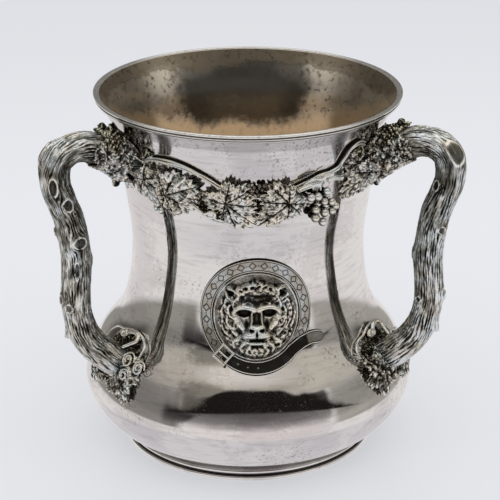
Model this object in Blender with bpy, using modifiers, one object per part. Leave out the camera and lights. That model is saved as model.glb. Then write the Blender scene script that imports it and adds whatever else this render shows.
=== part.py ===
"""Silver loving cup with three cast vine handles.

Metres, +Z up. The cup's axis is the Z axis and the cup stands on z = 0, with
its medallion towards -Y. Angles are in degrees, anticlockwise from above.
"""

import math

import bmesh
import bpy
import numpy as np
from mathutils import Vector

# Body, raised from sheet: outer sizes of its outline
CUP_HEIGHT = 0.2055
RIM_RADIUS = 0.085
WAIST_RADIUS = 0.0657
WAIST_HEIGHT = 0.115
BELLY_RADIUS = 0.0944
BELLY_HEIGHT = 0.0361
BODY_WALL = 0.0011
SEAT_WIDTH = 0.0035

# Rolled rim, soldered over the lip
RIM_WIDTH = 0.0022
RIM_DEPTH = 0.0040

# Foot: a moulded collar over a plain wire, with a plate let in
FOOT_RADIUS = 0.0725
FOOT_HEIGHT = 0.0093
FOOT_WIRE_HEIGHT = 0.0024
FOOT_RING_WIDTH = 0.0050
FOOT_MOULDING_DEPTH = 0.0022
PLATE_THICKNESS = 0.0014
PLATE_RECESS = 0.0011

# Handles: hollow castings shaped as vine branches
HANDLE_RADIUS = 0.0083
HANDLE_ROOT_RADIUS = 0.0093
HANDLE_WALL = 0.0016
HANDLE_STATIONS = 26
HANDLE_SIDES = 12
HANDLE_ANGLES = {"left": 210.0, "right": 330.0, "back": 90.0}
BAY_HALF_ANGLE = 60.0
GRIP_STANDOFF = 0.0153
ARCH_OVERHANG = 0.0101
ARCH_BELOW_RIM = 0.0152
ROOT_BELOW_ARCH = 0.0093
FOOT_ABOVE_BELLY = 0.0250

# Garland that runs round the neck between two handles
BAY_ANGLES = {"front": 270.0, "right": 30.0, "left": 150.0}
GARLAND_BELOW_RIM = 0.0378
STEM_RADIUS = 0.0012
STEM_SWAY = 0.0060
TENDRIL_RADIUS = 0.0006
LARGE_LEAF = 0.0128
MIDDLE_LEAF = 0.0118
SMALL_LEAF = 0.0105
LEAF_THICKNESS = 0.0008
LEAF_CROWN = 0.0011
LEAF_SPACING = 0.0008
LEAF_POINTS = 18
OUTER_LEAF_RAISED = 0.0045
GRAPE_RADIUS = 0.0024
GRAPE_ROWS = (3, 3, 2, 1)
GRAPE_STAGGER = 0.0008

# Leaves and buds at the two ends of each handle
JOINT_LEAF = 0.0100
JOINT_LEAF_DROP = 0.0160
FOOT_LEAF_DROP = 0.0130
BUD_LENGTH = 0.0062
BUD_WIDTH = 0.0085
BUD_HEIGHT = 0.0030
BUD_EDGE = 0.0008
BUD_BEAD = 0.0042
BUD_POINTS = 16
CURL_RADIUS = 0.0042

# Medallion: a buckled strap round a lion's mask, slightly taller than it is wide
MEDALLION_HEIGHT = 0.0985
MEDALLION_ANGLE = 270.8
MEDALLION_STRETCH = 1.065
STRAP_OUTER_RADIUS = 0.0307
STRAP_WIDTH = 0.0072
STRAP_THICKNESS = 0.0009
DISC_THICKNESS = 0.0006
MASK_HALF_WIDTH = 0.0205
MASK_HALF_HEIGHT = 0.0205
MASK_HEIGHT = 0.0060
MASK_TUFTS = 14
TAIL_OVERHANG = 0.0106
TAIL_ROUNDING = 0.0030
TAIL_LEAVES_ANGLE = 315.0
TAIL_TIP_ANGLE = 338.2
BUCKLE_WIDTH = 0.0096
BUCKLE_LENGTH = 0.0086
BUCKLE_BAR = 0.0013
BUCKLE_ANGLE = 229.0

# Clearances between soldered pieces
JOINT_GAP = 0.0003
SKIN_GAP = 0.0004

TURNING_STEPS = 36
WELD_DISTANCE = 0.00001

# Colours of the metal: red, green, blue, then roughness
BRIGHT_SILVER = (0.80, 0.79, 0.81, 0.14)
GREY_SILVER = (0.47, 0.48, 0.46, 0.38)


def smooth_curve(points, steps):
    """Points on a smooth curve through the given ones, with steps[i] of them from point i on."""
    points = [np.array(point, dtype=float) for point in points]
    spans = [np.linalg.norm(b - a) for a, b in zip(points, points[1:])]
    slopes = [(b - a) / span for a, b, span in zip(points, points[1:], spans)]
    tangents = [slopes[0]]
    for before, after, a, b in zip(spans, spans[1:], slopes, slopes[1:]):
        tangents.append((a * after + b * before) / (before + after))
    tangents.append(slopes[-1])
    curve = []
    for i, count in enumerate(steps):
        start, end = points[i], points[i + 1]
        leave, arrive = tangents[i] * spans[i], tangents[i + 1] * spans[i]
        for t in np.arange(count) / count:
            curve.append((2 * t**3 - 3 * t**2 + 1) * start + (t**3 - 2 * t**2 + t) * leave
                         + (3 * t**2 - 2 * t**3) * end + (t**3 - t**2) * arrive)
    curve.append(points[-1])
    return np.array(curve)


def lengths_along(points):
    """Distance from the first point to each point, along the line."""
    steps = np.linalg.norm(np.diff(points, axis=0), axis=1)
    return np.concatenate([[0.0], np.cumsum(steps)])


def between(start, end, height_share, radius_share):
    """A (radius, height) point part of the way from start to end."""
    return (start[0] + (end[0] - start[0]) * radius_share,
            start[1] + (end[1] - start[1]) * height_share)


def body_outline():
    """Outer (radius, height) points of the body, from its seat on the foot up to the lip."""
    seat = (FOOT_RADIUS - JOINT_GAP, FOOT_HEIGHT)
    belly = (BELLY_RADIUS, BELLY_HEIGHT)
    waist = (WAIST_RADIUS, WAIST_HEIGHT)
    lip = (RIM_RADIUS - RIM_WIDTH - JOINT_GAP, CUP_HEIGHT - RIM_WIDTH / 2)
    turn = between(seat, belly, 0.22, 0.485)
    shoulder = between(belly, waist, 0.28, 0.25)
    ankle = between(belly, waist, 0.54, 0.745)
    neck = between(waist, lip, 0.39, 0.19)
    flare = between(waist, lip, 0.815, 0.58)
    knots = (seat, turn, belly, shoulder, ankle, waist, neck, flare, lip)
    return smooth_curve(knots, (2, 3, 2, 3, 3, 2, 2, 2))


OUTLINE = body_outline()
OUTLINE_LENGTHS = lengths_along(OUTLINE)
SLOPES = np.gradient(OUTLINE, OUTLINE_LENGTHS, axis=0)


def skin_radius(height):
    """Outer radius of the body at a height."""
    return float(np.interp(height, OUTLINE[:, 1], OUTLINE[:, 0]))


def skin_length(height):
    """Distance along the outline from the foot up to a height."""
    return float(np.interp(height, OUTLINE[:, 1], OUTLINE_LENGTHS))


def skin_height(length):
    """Height of the point at a distance along the outline."""
    return float(np.interp(length, OUTLINE_LENGTHS, OUTLINE[:, 1]))


def on_skin(angle, length, lift):
    """Point that stands off the body by lift, at an angle in radians."""
    radius, height = (np.interp(length, OUTLINE_LENGTHS, OUTLINE[:, k]) for k in (0, 1))
    outward, upward = (np.interp(length, OUTLINE_LENGTHS, SLOPES[:, k]) for k in (0, 1))
    steepness = math.hypot(outward, upward)
    radius += lift * upward / steepness
    height -= lift * outward / steepness
    return Vector((radius * math.cos(angle), radius * math.sin(angle), height))


def skin_place(across, height, turn=0.0):
    """Function from (right, up, lift) round a spot on the body to a point in space.

    The spot lies across metres to the right of angle 0, at the given height, and
    turn rotates the pattern anticlockwise as seen from outside."""
    middle = skin_length(height)
    girth = skin_radius(height)
    cosine, sine = math.cos(math.radians(turn)), math.sin(math.radians(turn))

    def place(right, up, lift):
        along = right * cosine - up * sine
        length = middle + right * sine + up * cosine
        local = float(np.interp(length, OUTLINE_LENGTHS, OUTLINE[:, 0]))
        return on_skin(across / girth + along / local, length, lift)

    return place


def bow(reach, radius):
    """How far a straight chord of this reach dips under a curved surface."""
    return reach**2 / (8 * radius)


def handle_route():
    """Centre line of a handle as (radius, height) points, upper root to lower root."""
    grip = max(BELLY_RADIUS, RIM_RADIUS) + GRIP_STANDOFF
    arch = (grip + ARCH_OVERHANG, CUP_HEIGHT - ARCH_BELOW_RIM)
    upper_height = arch[1] - ROOT_BELOW_ARCH
    lower_height = BELLY_HEIGHT + FOOT_ABOVE_BELLY
    upper = (skin_radius(upper_height), upper_height)
    lower = (skin_radius(lower_height), lower_height)
    elbow = (arch[0], upper[1] - HANDLE_RADIUS * 0.85)
    bend = (grip, upper[1] + (lower[1] - upper[1]) * 0.38)
    knee = (grip, upper[1] + (lower[1] - upper[1]) * 0.71)
    knots = (upper,
             between(upper, arch, 0.55, 0.39),
             between(upper, arch, 0.97, 0.62),
             between(upper, arch, 0.95, 0.80),
             between(upper, arch, 0.50, 0.95),
             elbow,
             between(elbow, bend, 0.28, 0.30),
             between(elbow, bend, 0.58, 0.72),
             bend,
             knee,
             between(knee, lower, 0.29, 0.11),
             between(knee, lower, 0.80, 0.66),
             lower)
    return smooth_curve(knots, (8,) * (len(knots) - 1))


ROUTE = handle_route()
ROUTE_LENGTHS = lengths_along(ROUTE)
ROUTE_LENGTH = ROUTE_LENGTHS[-1]
ROUTE_SLOPES = np.gradient(ROUTE, ROUTE_LENGTHS, axis=0)

# Knots and cut stubs of the branch: share of the route, angle round the branch
# from its outer side, rise and spread
BRANCH_KNOTS = (
    (0.255, -50.0, 0.0030, 0.0055),
    (0.290, 60.0, 0.0012, 0.0050),
    (0.375, 80.0, 0.0014, 0.0050),
    (0.500, 85.0, 0.0022, 0.0055),
    (0.510, -35.0, 0.0018, 0.0050),
    (0.730, -20.0, 0.0014, 0.0040),
    (0.740, 55.0, 0.0014, 0.0040),
    (0.850, 5.0, 0.0022, 0.0040),
)


def branch_radius(length):
    """Plain radius of the branch: it swells into both of its roots."""
    to_root = min(length, ROUTE_LENGTH - length) / (2.5 * HANDLE_ROOT_RADIUS)
    swelling = (HANDLE_ROOT_RADIUS - HANDLE_RADIUS) * math.exp(-to_root**2)
    return HANDLE_RADIUS + swelling


def on_branch(length, side, radius):
    """Point at an angle round the branch, for a handle that reaches out along +X."""
    centre = [np.interp(length, ROUTE_LENGTHS, ROUTE[:, k]) for k in (0, 1)]
    slope = [np.interp(length, ROUTE_LENGTHS, ROUTE_SLOPES[:, k]) for k in (0, 1)]
    scale = radius * math.cos(side) / math.hypot(*slope)
    return Vector((centre[0] - slope[1] * scale,
                   radius * math.sin(side),
                   centre[1] + slope[0] * scale))


def knot_rise(length, side):
    """Extra radius that the knots give the branch."""
    rise = 0.0
    for share, angle, height, spread in BRANCH_KNOTS:
        along = length - share * ROUTE_LENGTH
        turned = math.remainder(side - math.radians(angle), math.tau)
        rise += height * math.exp(-(along**2 + (turned * HANDLE_RADIUS)**2) / spread**2)
    return rise


def root_point(height, side, radius):
    """Point of a handle's end ring, which lies along the skin of the body."""
    length = skin_length(height) + radius * math.cos(side)
    return on_skin(radius * math.sin(side) / skin_radius(height), length, SKIN_GAP)


COLLECTION = bpy.data.collections.new("silver_loving_cup")
CUTTERS = bpy.data.collections.new("cutters")


def metal(name, colour):
    """Material of one piece of silver."""
    material = bpy.data.materials.new(name + "_metal")
    material.use_nodes = True
    shader = material.node_tree.nodes["Principled BSDF"]
    shader.inputs["Base Color"].default_value = (*colour[:3], 1.0)
    shader.inputs["Roughness"].default_value = colour[3]
    shader.inputs["Metallic"].default_value = 1.0
    return material


def add_piece(name, data, colour, parent=None):
    """Put a mesh or a curve in the cup's collection as one named piece."""
    piece = bpy.data.objects.new(name, data)
    COLLECTION.objects.link(piece)
    piece.parent = parent
    piece.data.materials.append(metal(name, colour))
    return piece


def finished_mesh(name, bm):
    """Mesh from a bmesh: triangles only, faces out, shaded smooth with sharp creases."""
    bmesh.ops.triangulate(bm, faces=bm.faces[:])
    bmesh.ops.recalc_face_normals(bm, faces=bm.faces[:])
    mesh = bpy.data.meshes.new(name)
    bm.to_mesh(mesh)
    bm.free()
    mesh.shade_smooth()
    mesh.set_sharp_from_angle(angle=math.radians(40.0))
    return mesh


def turned_piece(name, outline, colour):
    """Solid of revolution: outline runs down the outer side and back up the inner one."""
    mesh = bpy.data.meshes.new(name)
    count = len(outline)
    edges = [(i, (i + 1) % count) for i in range(count)]
    mesh.from_pydata([(radius, 0.0, height) for radius, height in outline], edges, [])
    piece = add_piece(name, mesh, colour)
    screw = piece.modifiers.new("turning", "SCREW")
    screw.axis = "Z"
    screw.angle = math.tau
    screw.steps = TURNING_STEPS
    screw.render_steps = TURNING_STEPS
    screw.use_merge_vertices = True
    screw.merge_threshold = WELD_DISTANCE
    screw.use_smooth_shade = True
    return piece


def make_body():
    """Raised body: one wall that follows the outline, with a seat turned in at the foot."""
    outer = [tuple(point) for point in OUTLINE[::-1]]
    inner = []
    for (radius, height), (outward, upward) in zip(OUTLINE[1:], SLOPES[1:]):
        steepness = math.hypot(outward, upward)
        inner.append((radius - BODY_WALL * upward / steepness,
                      height + BODY_WALL * outward / steepness))
    inner[-1] = (OUTLINE[-1][0] - BODY_WALL, OUTLINE[-1][1])
    seat_radius = OUTLINE[0][0] - SEAT_WIDTH
    seat = [(seat_radius, FOOT_HEIGHT), (seat_radius, FOOT_HEIGHT + BODY_WALL)]
    turned_piece("body_shell", outer + seat + inner, BRIGHT_SILVER)


def make_rim():
    """Half-round moulding that caps the lip and hangs over its outer side."""
    inner = RIM_RADIUS - RIM_WIDTH
    top = CUP_HEIGHT
    half = RIM_WIDTH / 2
    crown = []
    for angle in np.linspace(100.0, -80.0, 5):
        turn = math.radians(angle)
        crown.append((RIM_RADIUS - half + half * math.cos(turn), top - half + half * math.sin(turn)))
    outline = crown + [
        (RIM_RADIUS - half * 0.7, top - RIM_WIDTH - half * 0.4),
        (RIM_RADIUS - half * 0.5, top - RIM_DEPTH + half * 0.4),
        (RIM_RADIUS - half, top - RIM_DEPTH),
        (inner, top - RIM_DEPTH),
        (inner, OUTLINE[-1][1] + JOINT_GAP),
        (OUTLINE[-1][0] - BODY_WALL, OUTLINE[-1][1] + JOINT_GAP),
        (OUTLINE[-1][0] - BODY_WALL / 2, top - half * 0.1),
    ]
    turned_piece("rim_wire", outline, BRIGHT_SILVER)


def make_foot():
    """Moulded collar, plain wire below it, and the plate that closes the foot."""
    inner = FOOT_RADIUS - FOOT_RING_WIDTH
    low = FOOT_WIRE_HEIGHT + JOINT_GAP
    high = FOOT_HEIGHT - JOINT_GAP
    rise = high - low
    deep = FOOT_RADIUS - FOOT_MOULDING_DEPTH
    collar = [
        (FOOT_RADIUS - FOOT_MOULDING_DEPTH / 2, high),
        (deep, high - rise * 0.12),
        (deep, high - rise * 0.25),
        (FOOT_RADIUS - FOOT_MOULDING_DEPTH * 0.3, high - rise * 0.33),
        (FOOT_RADIUS, high - rise * 0.50),
        (FOOT_RADIUS - FOOT_MOULDING_DEPTH * 0.3, high - rise * 0.67),
        (deep, high - rise * 0.75),
        (deep, low),
        (inner, low),
        (inner, high),
    ]
    turned_piece("foot_collar", collar, BRIGHT_SILVER)

    edge = FOOT_WIRE_HEIGHT * 0.3
    wire = [
        (FOOT_RADIUS - edge, FOOT_WIRE_HEIGHT),
        (FOOT_RADIUS, FOOT_WIRE_HEIGHT - edge),
        (FOOT_RADIUS, edge),
        (FOOT_RADIUS - edge, 0.0),
        (inner, 0.0),
        (inner, FOOT_WIRE_HEIGHT),
    ]
    turned_piece("foot_wire", wire, BRIGHT_SILVER)

    outer = inner - JOINT_GAP
    chamfer = PLATE_THICKNESS * 0.25
    plate = [
        (0.0, PLATE_RECESS + PLATE_THICKNESS),
        (outer - chamfer, PLATE_RECESS + PLATE_THICKNESS),
        (outer, PLATE_RECESS + PLATE_THICKNESS - chamfer),
        (outer, PLATE_RECESS),
        (0.0, PLATE_RECESS),
    ]
    turned_piece("base_plate", plate, BRIGHT_SILVER)


def station_lengths(count):
    """Distances along the route at which the branch has a ring, between its two end rings."""
    first = 1.1 * HANDLE_ROOT_RADIUS
    last = ROUTE_LENGTH - 0.8 * HANDLE_ROOT_RADIUS
    return np.linspace(first, last, count)


def branch_rings(bm, sides, inward):
    """Rings of vertices along the whole branch, at a depth under its surface."""
    upper, lower = ROUTE[0][1], ROUTE[-1][1]
    turns = [math.tau * k / sides for k in range(sides)]
    rings = [[bm.verts.new(root_point(upper, side, HANDLE_ROOT_RADIUS - inward)) for side in turns]]
    for length in station_lengths(HANDLE_STATIONS):
        plain = branch_radius(length) - inward
        ring = []
        for side in turns:
            rise = 0.0 if inward else knot_rise(length, side)
            ring.append(bm.verts.new(on_branch(length, side, plain + rise)))
        rings.append(ring)
    rings.append([bm.verts.new(root_point(lower, math.pi - side, HANDLE_ROOT_RADIUS - inward))
                  for side in turns])
    return rings


def make_handle_mesh():
    """Hollow branch: an outer skin with knots, a plainer bore, and open ends on the body."""
    bm = bmesh.new()
    bore_sides = HANDLE_SIDES // 2
    outer = branch_rings(bm, HANDLE_SIDES, 0.0)
    bore = branch_rings(bm, bore_sides, HANDLE_WALL)
    for rings in (outer, bore):
        sides = len(rings[0])
        for ring, after in zip(rings, rings[1:]):
            for k in range(sides):
                following = (k + 1) % sides
                bm.faces.new((ring[k], ring[following], after[following], after[k]))
    for ring, hole in ((outer[0], bore[0]), (outer[-1], bore[-1])):
        for k in range(bore_sides):
            first, middle, last = ring[2 * k], ring[2 * k + 1], ring[(2 * k + 2) % HANDLE_SIDES]
            hole_start, hole_end = hole[k], hole[(k + 1) % bore_sides]
            bm.faces.new((first, middle, hole_start))
            bm.faces.new((middle, hole_end, hole_start))
            bm.faces.new((middle, last, hole_end))
    return finished_mesh("branch", bm)


def relief_mesh(name, place, outline, top_shares, bottom_shares, top, bottom):
    """Closed solid over an outline: rings of it at shares of its size, above and below.

    top and bottom give the lift at (right, up). The last share of each list is 1."""
    bm = bmesh.new()

    def surface(shares, lift):
        middle = bm.verts.new(place(0.0, 0.0, lift(0.0, 0.0)))
        rings = []
        for share in shares:
            points = [(right * share, up * share) for right, up in outline]
            rings.append([bm.verts.new(place(*point, lift(*point))) for point in points])
        return middle, rings

    count = len(outline)
    upper_middle, upper = surface(top_shares, top)
    lower_middle, lower = surface(bottom_shares, bottom)
    for k in range(count):
        following = (k + 1) % count
        for middle, rings in ((upper_middle, upper), (lower_middle, lower)):
            bm.faces.new((middle, rings[0][k], rings[0][following]))
            for ring, wider in zip(rings, rings[1:]):
                bm.faces.new((ring[k], wider[k], wider[following], ring[following]))
        bm.faces.new((lower[-1][k], lower[-1][following], upper[-1][following], upper[-1][k]))
    return finished_mesh(name, bm)


def strip_mesh(name, place, line, widths, bottom, thickness, closed=False):
    """Flat strap along a line of (right, up) points, closed on itself or with square ends."""
    line = np.array(line)
    if closed:
        directions = np.roll(line, -1, axis=0) - np.roll(line, 1, axis=0)
    else:
        directions = np.gradient(line, axis=0, edge_order=2)
    bm = bmesh.new()
    sections = []
    for point, forward, width in zip(line, directions, widths):
        side = np.array([-forward[1], forward[0]]) / np.linalg.norm(forward) * width / 2
        corners = ((point - side, bottom), (point + side, bottom),
                   (point + side, bottom + thickness), (point - side, bottom + thickness))
        sections.append([bm.verts.new(place(*spot, lift)) for spot, lift in corners])
    pairs = list(zip(sections, sections[1:]))
    if closed:
        pairs.append((sections[-1], sections[0]))
    else:
        bm.faces.new(sections[0])
        bm.faces.new(sections[-1])
    for section, following in pairs:
        for k in range(4):
            after = (k + 1) % 4
            bm.faces.new((section[k], section[after], following[after], following[k]))
    return finished_mesh(name, bm)


def leaf_outline(size):
    """Vine leaf: five lobes and a notch at the stalk, its tip hanging down."""
    outline = []
    for k in range(LEAF_POINTS):
        angle = math.tau * k / LEAF_POINTS
        lobes = 0.87 + 0.13 * math.cos(6 * angle)
        from_stalk = abs(math.remainder(angle - math.pi, math.tau))
        notch = 1.0 - 0.55 * math.exp(-(from_stalk / 0.45)**2)
        reach = size * lobes * notch
        outline.append((reach * math.sin(angle), -reach * math.cos(angle)))
    return outline


def leaf_mesh(name, place, size, lift):
    """Thin domed vine leaf at a lift over the skin."""
    def top(right, up):
        share = min(1.0, math.hypot(right, up) / size)
        return lift + LEAF_THICKNESS + LEAF_CROWN * (1.0 - share**2) * (0.6 + 0.8 * share)

    def bottom(right, up):
        return lift

    return relief_mesh(name, place, leaf_outline(size), (0.5, 1.0), (1.0,), top, bottom)


def wire_curve(name, points, radius):
    """Round wire through the given points, with flat ends."""
    curve = bpy.data.curves.new(name, "CURVE")
    curve.dimensions = "3D"
    curve.bevel_depth = radius
    curve.bevel_resolution = 2
    curve.use_fill_caps = True
    spline = curve.splines.new("POLY")
    spline.points.add(len(points) - 1)
    for spot, point in zip(spline.points, points):
        spot.co = (*point, 1.0)
    return curve


def add_copies(name, data, colour, parents):
    """The same piece once for each parent, named for it."""
    for place_name, parent in parents.items():
        add_piece(f"{name}_{place_name}", data.copy(), colour, parent)


def make_empties(angles, label):
    """Empties on the axis, turned to each of the given angles."""
    empties = {}
    for name, angle in angles.items():
        empty = bpy.data.objects.new(f"{label}_{name}_place", None)
        empty.rotation_euler = (0.0, 0.0, math.radians(angle))
        COLLECTION.objects.link(empty)
        empties[name] = empty
    return empties


def make_stem(parents):
    """Vine stem that swings from one handle to the next under the leaves."""
    height = CUP_HEIGHT - GARLAND_BELOW_RIM
    lift = SKIN_GAP + STEM_RADIUS
    girth = skin_radius(ROUTE[0][1])
    end = math.radians(BAY_HALF_ANGLE) - (HANDLE_ROOT_RADIUS + 2 * STEM_RADIUS) / girth
    knots = [
        (-end, ROUTE[0][1]),
        (-end * 0.76, height + STEM_SWAY * 3.1),
        (-end * 0.48, height + STEM_SWAY * 2.2),
        (-end * 0.18, height + STEM_SWAY * 1.5),
        (end * 0.24, height + STEM_SWAY * 1.5),
        (end * 0.55, height + STEM_SWAY * 1.8),
        (end * 0.78, height + STEM_SWAY * 3.4),
        (end, ROUTE[0][1]),
    ]
    scaled = smooth_curve([(angle * girth, up) for angle, up in knots], (2,) * 7)
    points = [on_skin(across / girth, skin_length(up), lift) for across, up in scaled]
    add_copies("vine_stem", wire_curve("vine_stem", points, STEM_RADIUS), GREY_SILVER, parents)


def make_garland_leaves(parents):
    """Three leaves over the stem, side by side about the middle of the bay."""
    height = CUP_HEIGHT - GARLAND_BELOW_RIM
    girth = skin_radius(height)
    over_stem = SKIN_GAP + 2 * STEM_RADIUS + JOINT_GAP
    middle_place = -LARGE_LEAF - LEAF_SPACING / 2
    leaves = (
        ("leaf_1", SMALL_LEAF, middle_place - LARGE_LEAF - SMALL_LEAF - LEAF_SPACING,
         OUTER_LEAF_RAISED, 12.0),
        ("leaf_2", LARGE_LEAF, middle_place, 0.0, -8.0),
        ("leaf_3", MIDDLE_LEAF, MIDDLE_LEAF + LEAF_SPACING / 2, 0.0, 6.0),
    )
    for name, size, across, raised, turn in leaves:
        place = skin_place(across, height + raised, turn)
        mesh = leaf_mesh(name, place, size, over_stem + bow(size, girth))
        add_copies(name, mesh, GREY_SILVER, parents)


def grape_centres(across, height):
    """Centres of the grapes: rows that narrow towards the tip of the bunch."""
    step = GRAPE_RADIUS * 1.65
    row_step = GRAPE_RADIUS * 1.45
    place = skin_place(across, height, 8.0)
    centres = []
    for row, count in enumerate(GRAPE_ROWS):
        up = (len(GRAPE_ROWS) / 2 - row) * row_step
        for k in range(count):
            right = (k - (count - 1) / 2) * step
            crown = GRAPE_STAGGER * ((k + row) % 2)
            centres.append(place(right, up, SKIN_GAP + GRAPE_RADIUS + crown))
    return centres


def make_grapes(parents):
    """Bunch of grapes beside the last leaf, cast as one piece."""
    across = 2 * MIDDLE_LEAF + LEAF_SPACING * 2 + GRAPE_RADIUS * 3.6
    height = CUP_HEIGHT - GARLAND_BELOW_RIM - GRAPE_RADIUS * 2.2
    centres = grape_centres(across, height)
    group = bpy.data.collections.new("grapes")
    CUTTERS.children.link(group)
    bunch = None
    for k, centre in enumerate(centres):
        bm = bmesh.new()
        bmesh.ops.create_uvsphere(bm, u_segments=8, v_segments=5, radius=GRAPE_RADIUS)
        bmesh.ops.translate(bm, verts=bm.verts[:], vec=centre)
        mesh = finished_mesh(f"grape_{k}", bm)
        grape = bpy.data.objects.new(f"grape_{k}", mesh)
        grape.hide_render = True
        grape.display_type = "WIRE"
        if bunch is None:
            bunch = grape
            CUTTERS.objects.link(grape)
        else:
            group.objects.link(grape)
    union = bunch.modifiers.new("joined", "BOOLEAN")
    union.operation = "UNION"
    union.solver = "EXACT"
    union.operand_type = "COLLECTION"
    union.collection = group
    bpy.context.view_layer.update()
    seen = bunch.evaluated_get(bpy.context.evaluated_depsgraph_get())
    joined = bpy.data.meshes.new_from_object(seen)
    add_copies("grape_bunch", joined, GREY_SILVER, parents)


def make_tendril(parents):
    """Curling wire that hangs below the middle leaf."""
    height = CUP_HEIGHT - GARLAND_BELOW_RIM - LARGE_LEAF * 0.55
    place = skin_place(-LARGE_LEAF - LEAF_SPACING / 2, height)
    lift = SKIN_GAP + TENDRIL_RADIUS
    knots = [(-LARGE_LEAF * 1.25, LARGE_LEAF * 0.10), (-LARGE_LEAF * 0.75, -LARGE_LEAF * 0.30),
             (0.0, -LARGE_LEAF * 0.15), (LARGE_LEAF * 0.70, -LARGE_LEAF * 0.30),
             (LARGE_LEAF * 1.15, LARGE_LEAF * 0.05)]
    line = smooth_curve(knots, (2,) * 4)
    points = [place(right, up, lift) for right, up in line]
    add_copies("tendril", wire_curve("tendril", points, TENDRIL_RADIUS), GREY_SILVER, parents)


def make_joint_leaves(parents):
    """Pair of leaves on the body below each end of a handle."""
    for where, root_height, drop in (("upper", ROUTE[0][1], JOINT_LEAF_DROP),
                                     ("lower", ROUTE[-1][1], FOOT_LEAF_DROP)):
        height = skin_height(skin_length(root_height) - drop)
        girth = skin_radius(height)
        over_stem = SKIN_GAP + 2 * STEM_RADIUS + JOINT_GAP
        for side, sign in (("a", -1.0), ("b", 1.0)):
            across = sign * (JOINT_LEAF + LEAF_SPACING / 2)
            mesh = leaf_mesh(f"{where}_leaf", skin_place(across, height, sign * 20.0),
                             JOINT_LEAF, over_stem + bow(JOINT_LEAF, girth))
            add_copies(f"{where}_leaf_{side}", mesh, GREY_SILVER, parents)


def make_buds(parents):
    """Cluster of buds saddled over the branch near its upper root."""
    start = 1.1 * HANDLE_ROOT_RADIUS + BUD_LENGTH

    def place(right, up, lift):
        length = start + up
        radius = branch_radius(length) + lift
        return on_branch(length, right / branch_radius(length), radius)

    def top(right, up):
        edge = min(1.0, math.hypot(right / BUD_WIDTH, up / BUD_LENGTH))
        beads = 0.5 + 0.5 * math.cos(math.tau * right / BUD_BEAD) * math.cos(math.tau * up / BUD_BEAD)
        swell = (1 - edge**2) * (0.6 + 0.4 * beads)
        return SKIN_GAP + BUD_EDGE + (BUD_HEIGHT - BUD_EDGE) * swell

    def bottom(right, up):
        return SKIN_GAP

    outline = []
    for k in range(BUD_POINTS):
        angle = math.tau * k / BUD_POINTS
        outline.append((BUD_WIDTH * math.sin(angle), -BUD_LENGTH * math.cos(angle)))
    mesh = relief_mesh("bud_cluster", place, outline, (0.35, 0.7, 1.0), (0.5, 1.0), top, bottom)
    add_copies("bud_cluster", mesh, GREY_SILVER, parents)


def make_curls(parents):
    """Ring-shaped tendril on the body above each handle's lower root."""
    lift = SKIN_GAP + TENDRIL_RADIUS
    length = skin_length(ROUTE[-1][1]) + HANDLE_ROOT_RADIUS + 2 * TENDRIL_RADIUS + CURL_RADIUS
    place = skin_place(HANDLE_RADIUS / 2, skin_height(length))
    points = []
    for turn in np.linspace(-150.0, 130.0, 11):
        angle = math.radians(turn)
        points.append(place(CURL_RADIUS * math.cos(angle), CURL_RADIUS * math.sin(angle), lift))
    add_copies("curl", wire_curve("curl", points, TENDRIL_RADIUS), GREY_SILVER, parents)


def ring_points(radius, count, start, end):
    """Points along an arc between two angles, anticlockwise from the right."""
    angles = np.radians(np.linspace(start, end, count))
    return [(radius * math.cos(angle), radius * math.sin(angle)) for angle in angles]


def mask_lift(base):
    """Relief of the lion's mask: mane, brow, cheeks and muzzle."""
    def top(right, up):
        x, y = right / MASK_HALF_WIDTH, up / MASK_HALF_HEIGHT
        reach = min(1.0, math.hypot(x, y))
        angle = math.atan2(y, x)
        mane = (1.0 - reach**3) * (0.55 + 0.08 * math.cos(MASK_TUFTS * angle))
        muzzle = 0.55 * math.exp(-((x / 0.26)**2 + ((y + 0.28) / 0.26)**2))
        brow = 0.30 * math.exp(-((x / 0.38)**2 + ((y - 0.22) / 0.13)**2))
        nose = 0.25 * math.exp(-((x / 0.12)**2 + ((y + 0.02) / 0.30)**2))
        eyes = 0.20 * math.exp(-(((abs(x) - 0.24) / 0.11)**2 + ((y - 0.08) / 0.09)**2))
        return base + LEAF_THICKNESS + MASK_HEIGHT * (mane + muzzle + brow + nose - eyes) / 1.3
    return top


def strap_tail_line(middle):
    """Centre line of the strap's end: on round the ring from the buckle, then out to its tip."""
    tip_angle = math.radians(TAIL_TIP_ANGLE)
    tip_reach = STRAP_OUTER_RADIUS + TAIL_OVERHANG
    tip = (tip_reach * math.cos(tip_angle), tip_reach * math.sin(tip_angle))
    start = BUCKLE_ANGLE + math.degrees(JOINT_GAP / middle)
    along_ring = ring_points(middle, 11, start, TAIL_LEAVES_ANGLE)
    leaving = along_ring[-1]
    knots = (leaving, between(leaving, tip, 0.895, 0.335), between(leaving, tip, 1.21, 0.59), tip)
    return np.vstack([along_ring[:-1], smooth_curve(knots, (3, 3, 3))])


def ring_start_angle(tail_line):
    """Angle at which the inner edge of the strap's end crosses the ring's outer edge."""
    ahead = np.gradient(tail_line, axis=0)
    across = np.column_stack([-ahead[:, 1], ahead[:, 0]])
    across *= STRAP_WIDTH / 2 / np.linalg.norm(across, axis=1)[:, None]
    edge = (tail_line + across)[-10:]
    angles = np.degrees(np.arctan2(edge[:, 1], edge[:, 0]))
    return float(np.interp(STRAP_OUTER_RADIUS, np.hypot(edge[:, 0], edge[:, 1]), angles))


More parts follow.
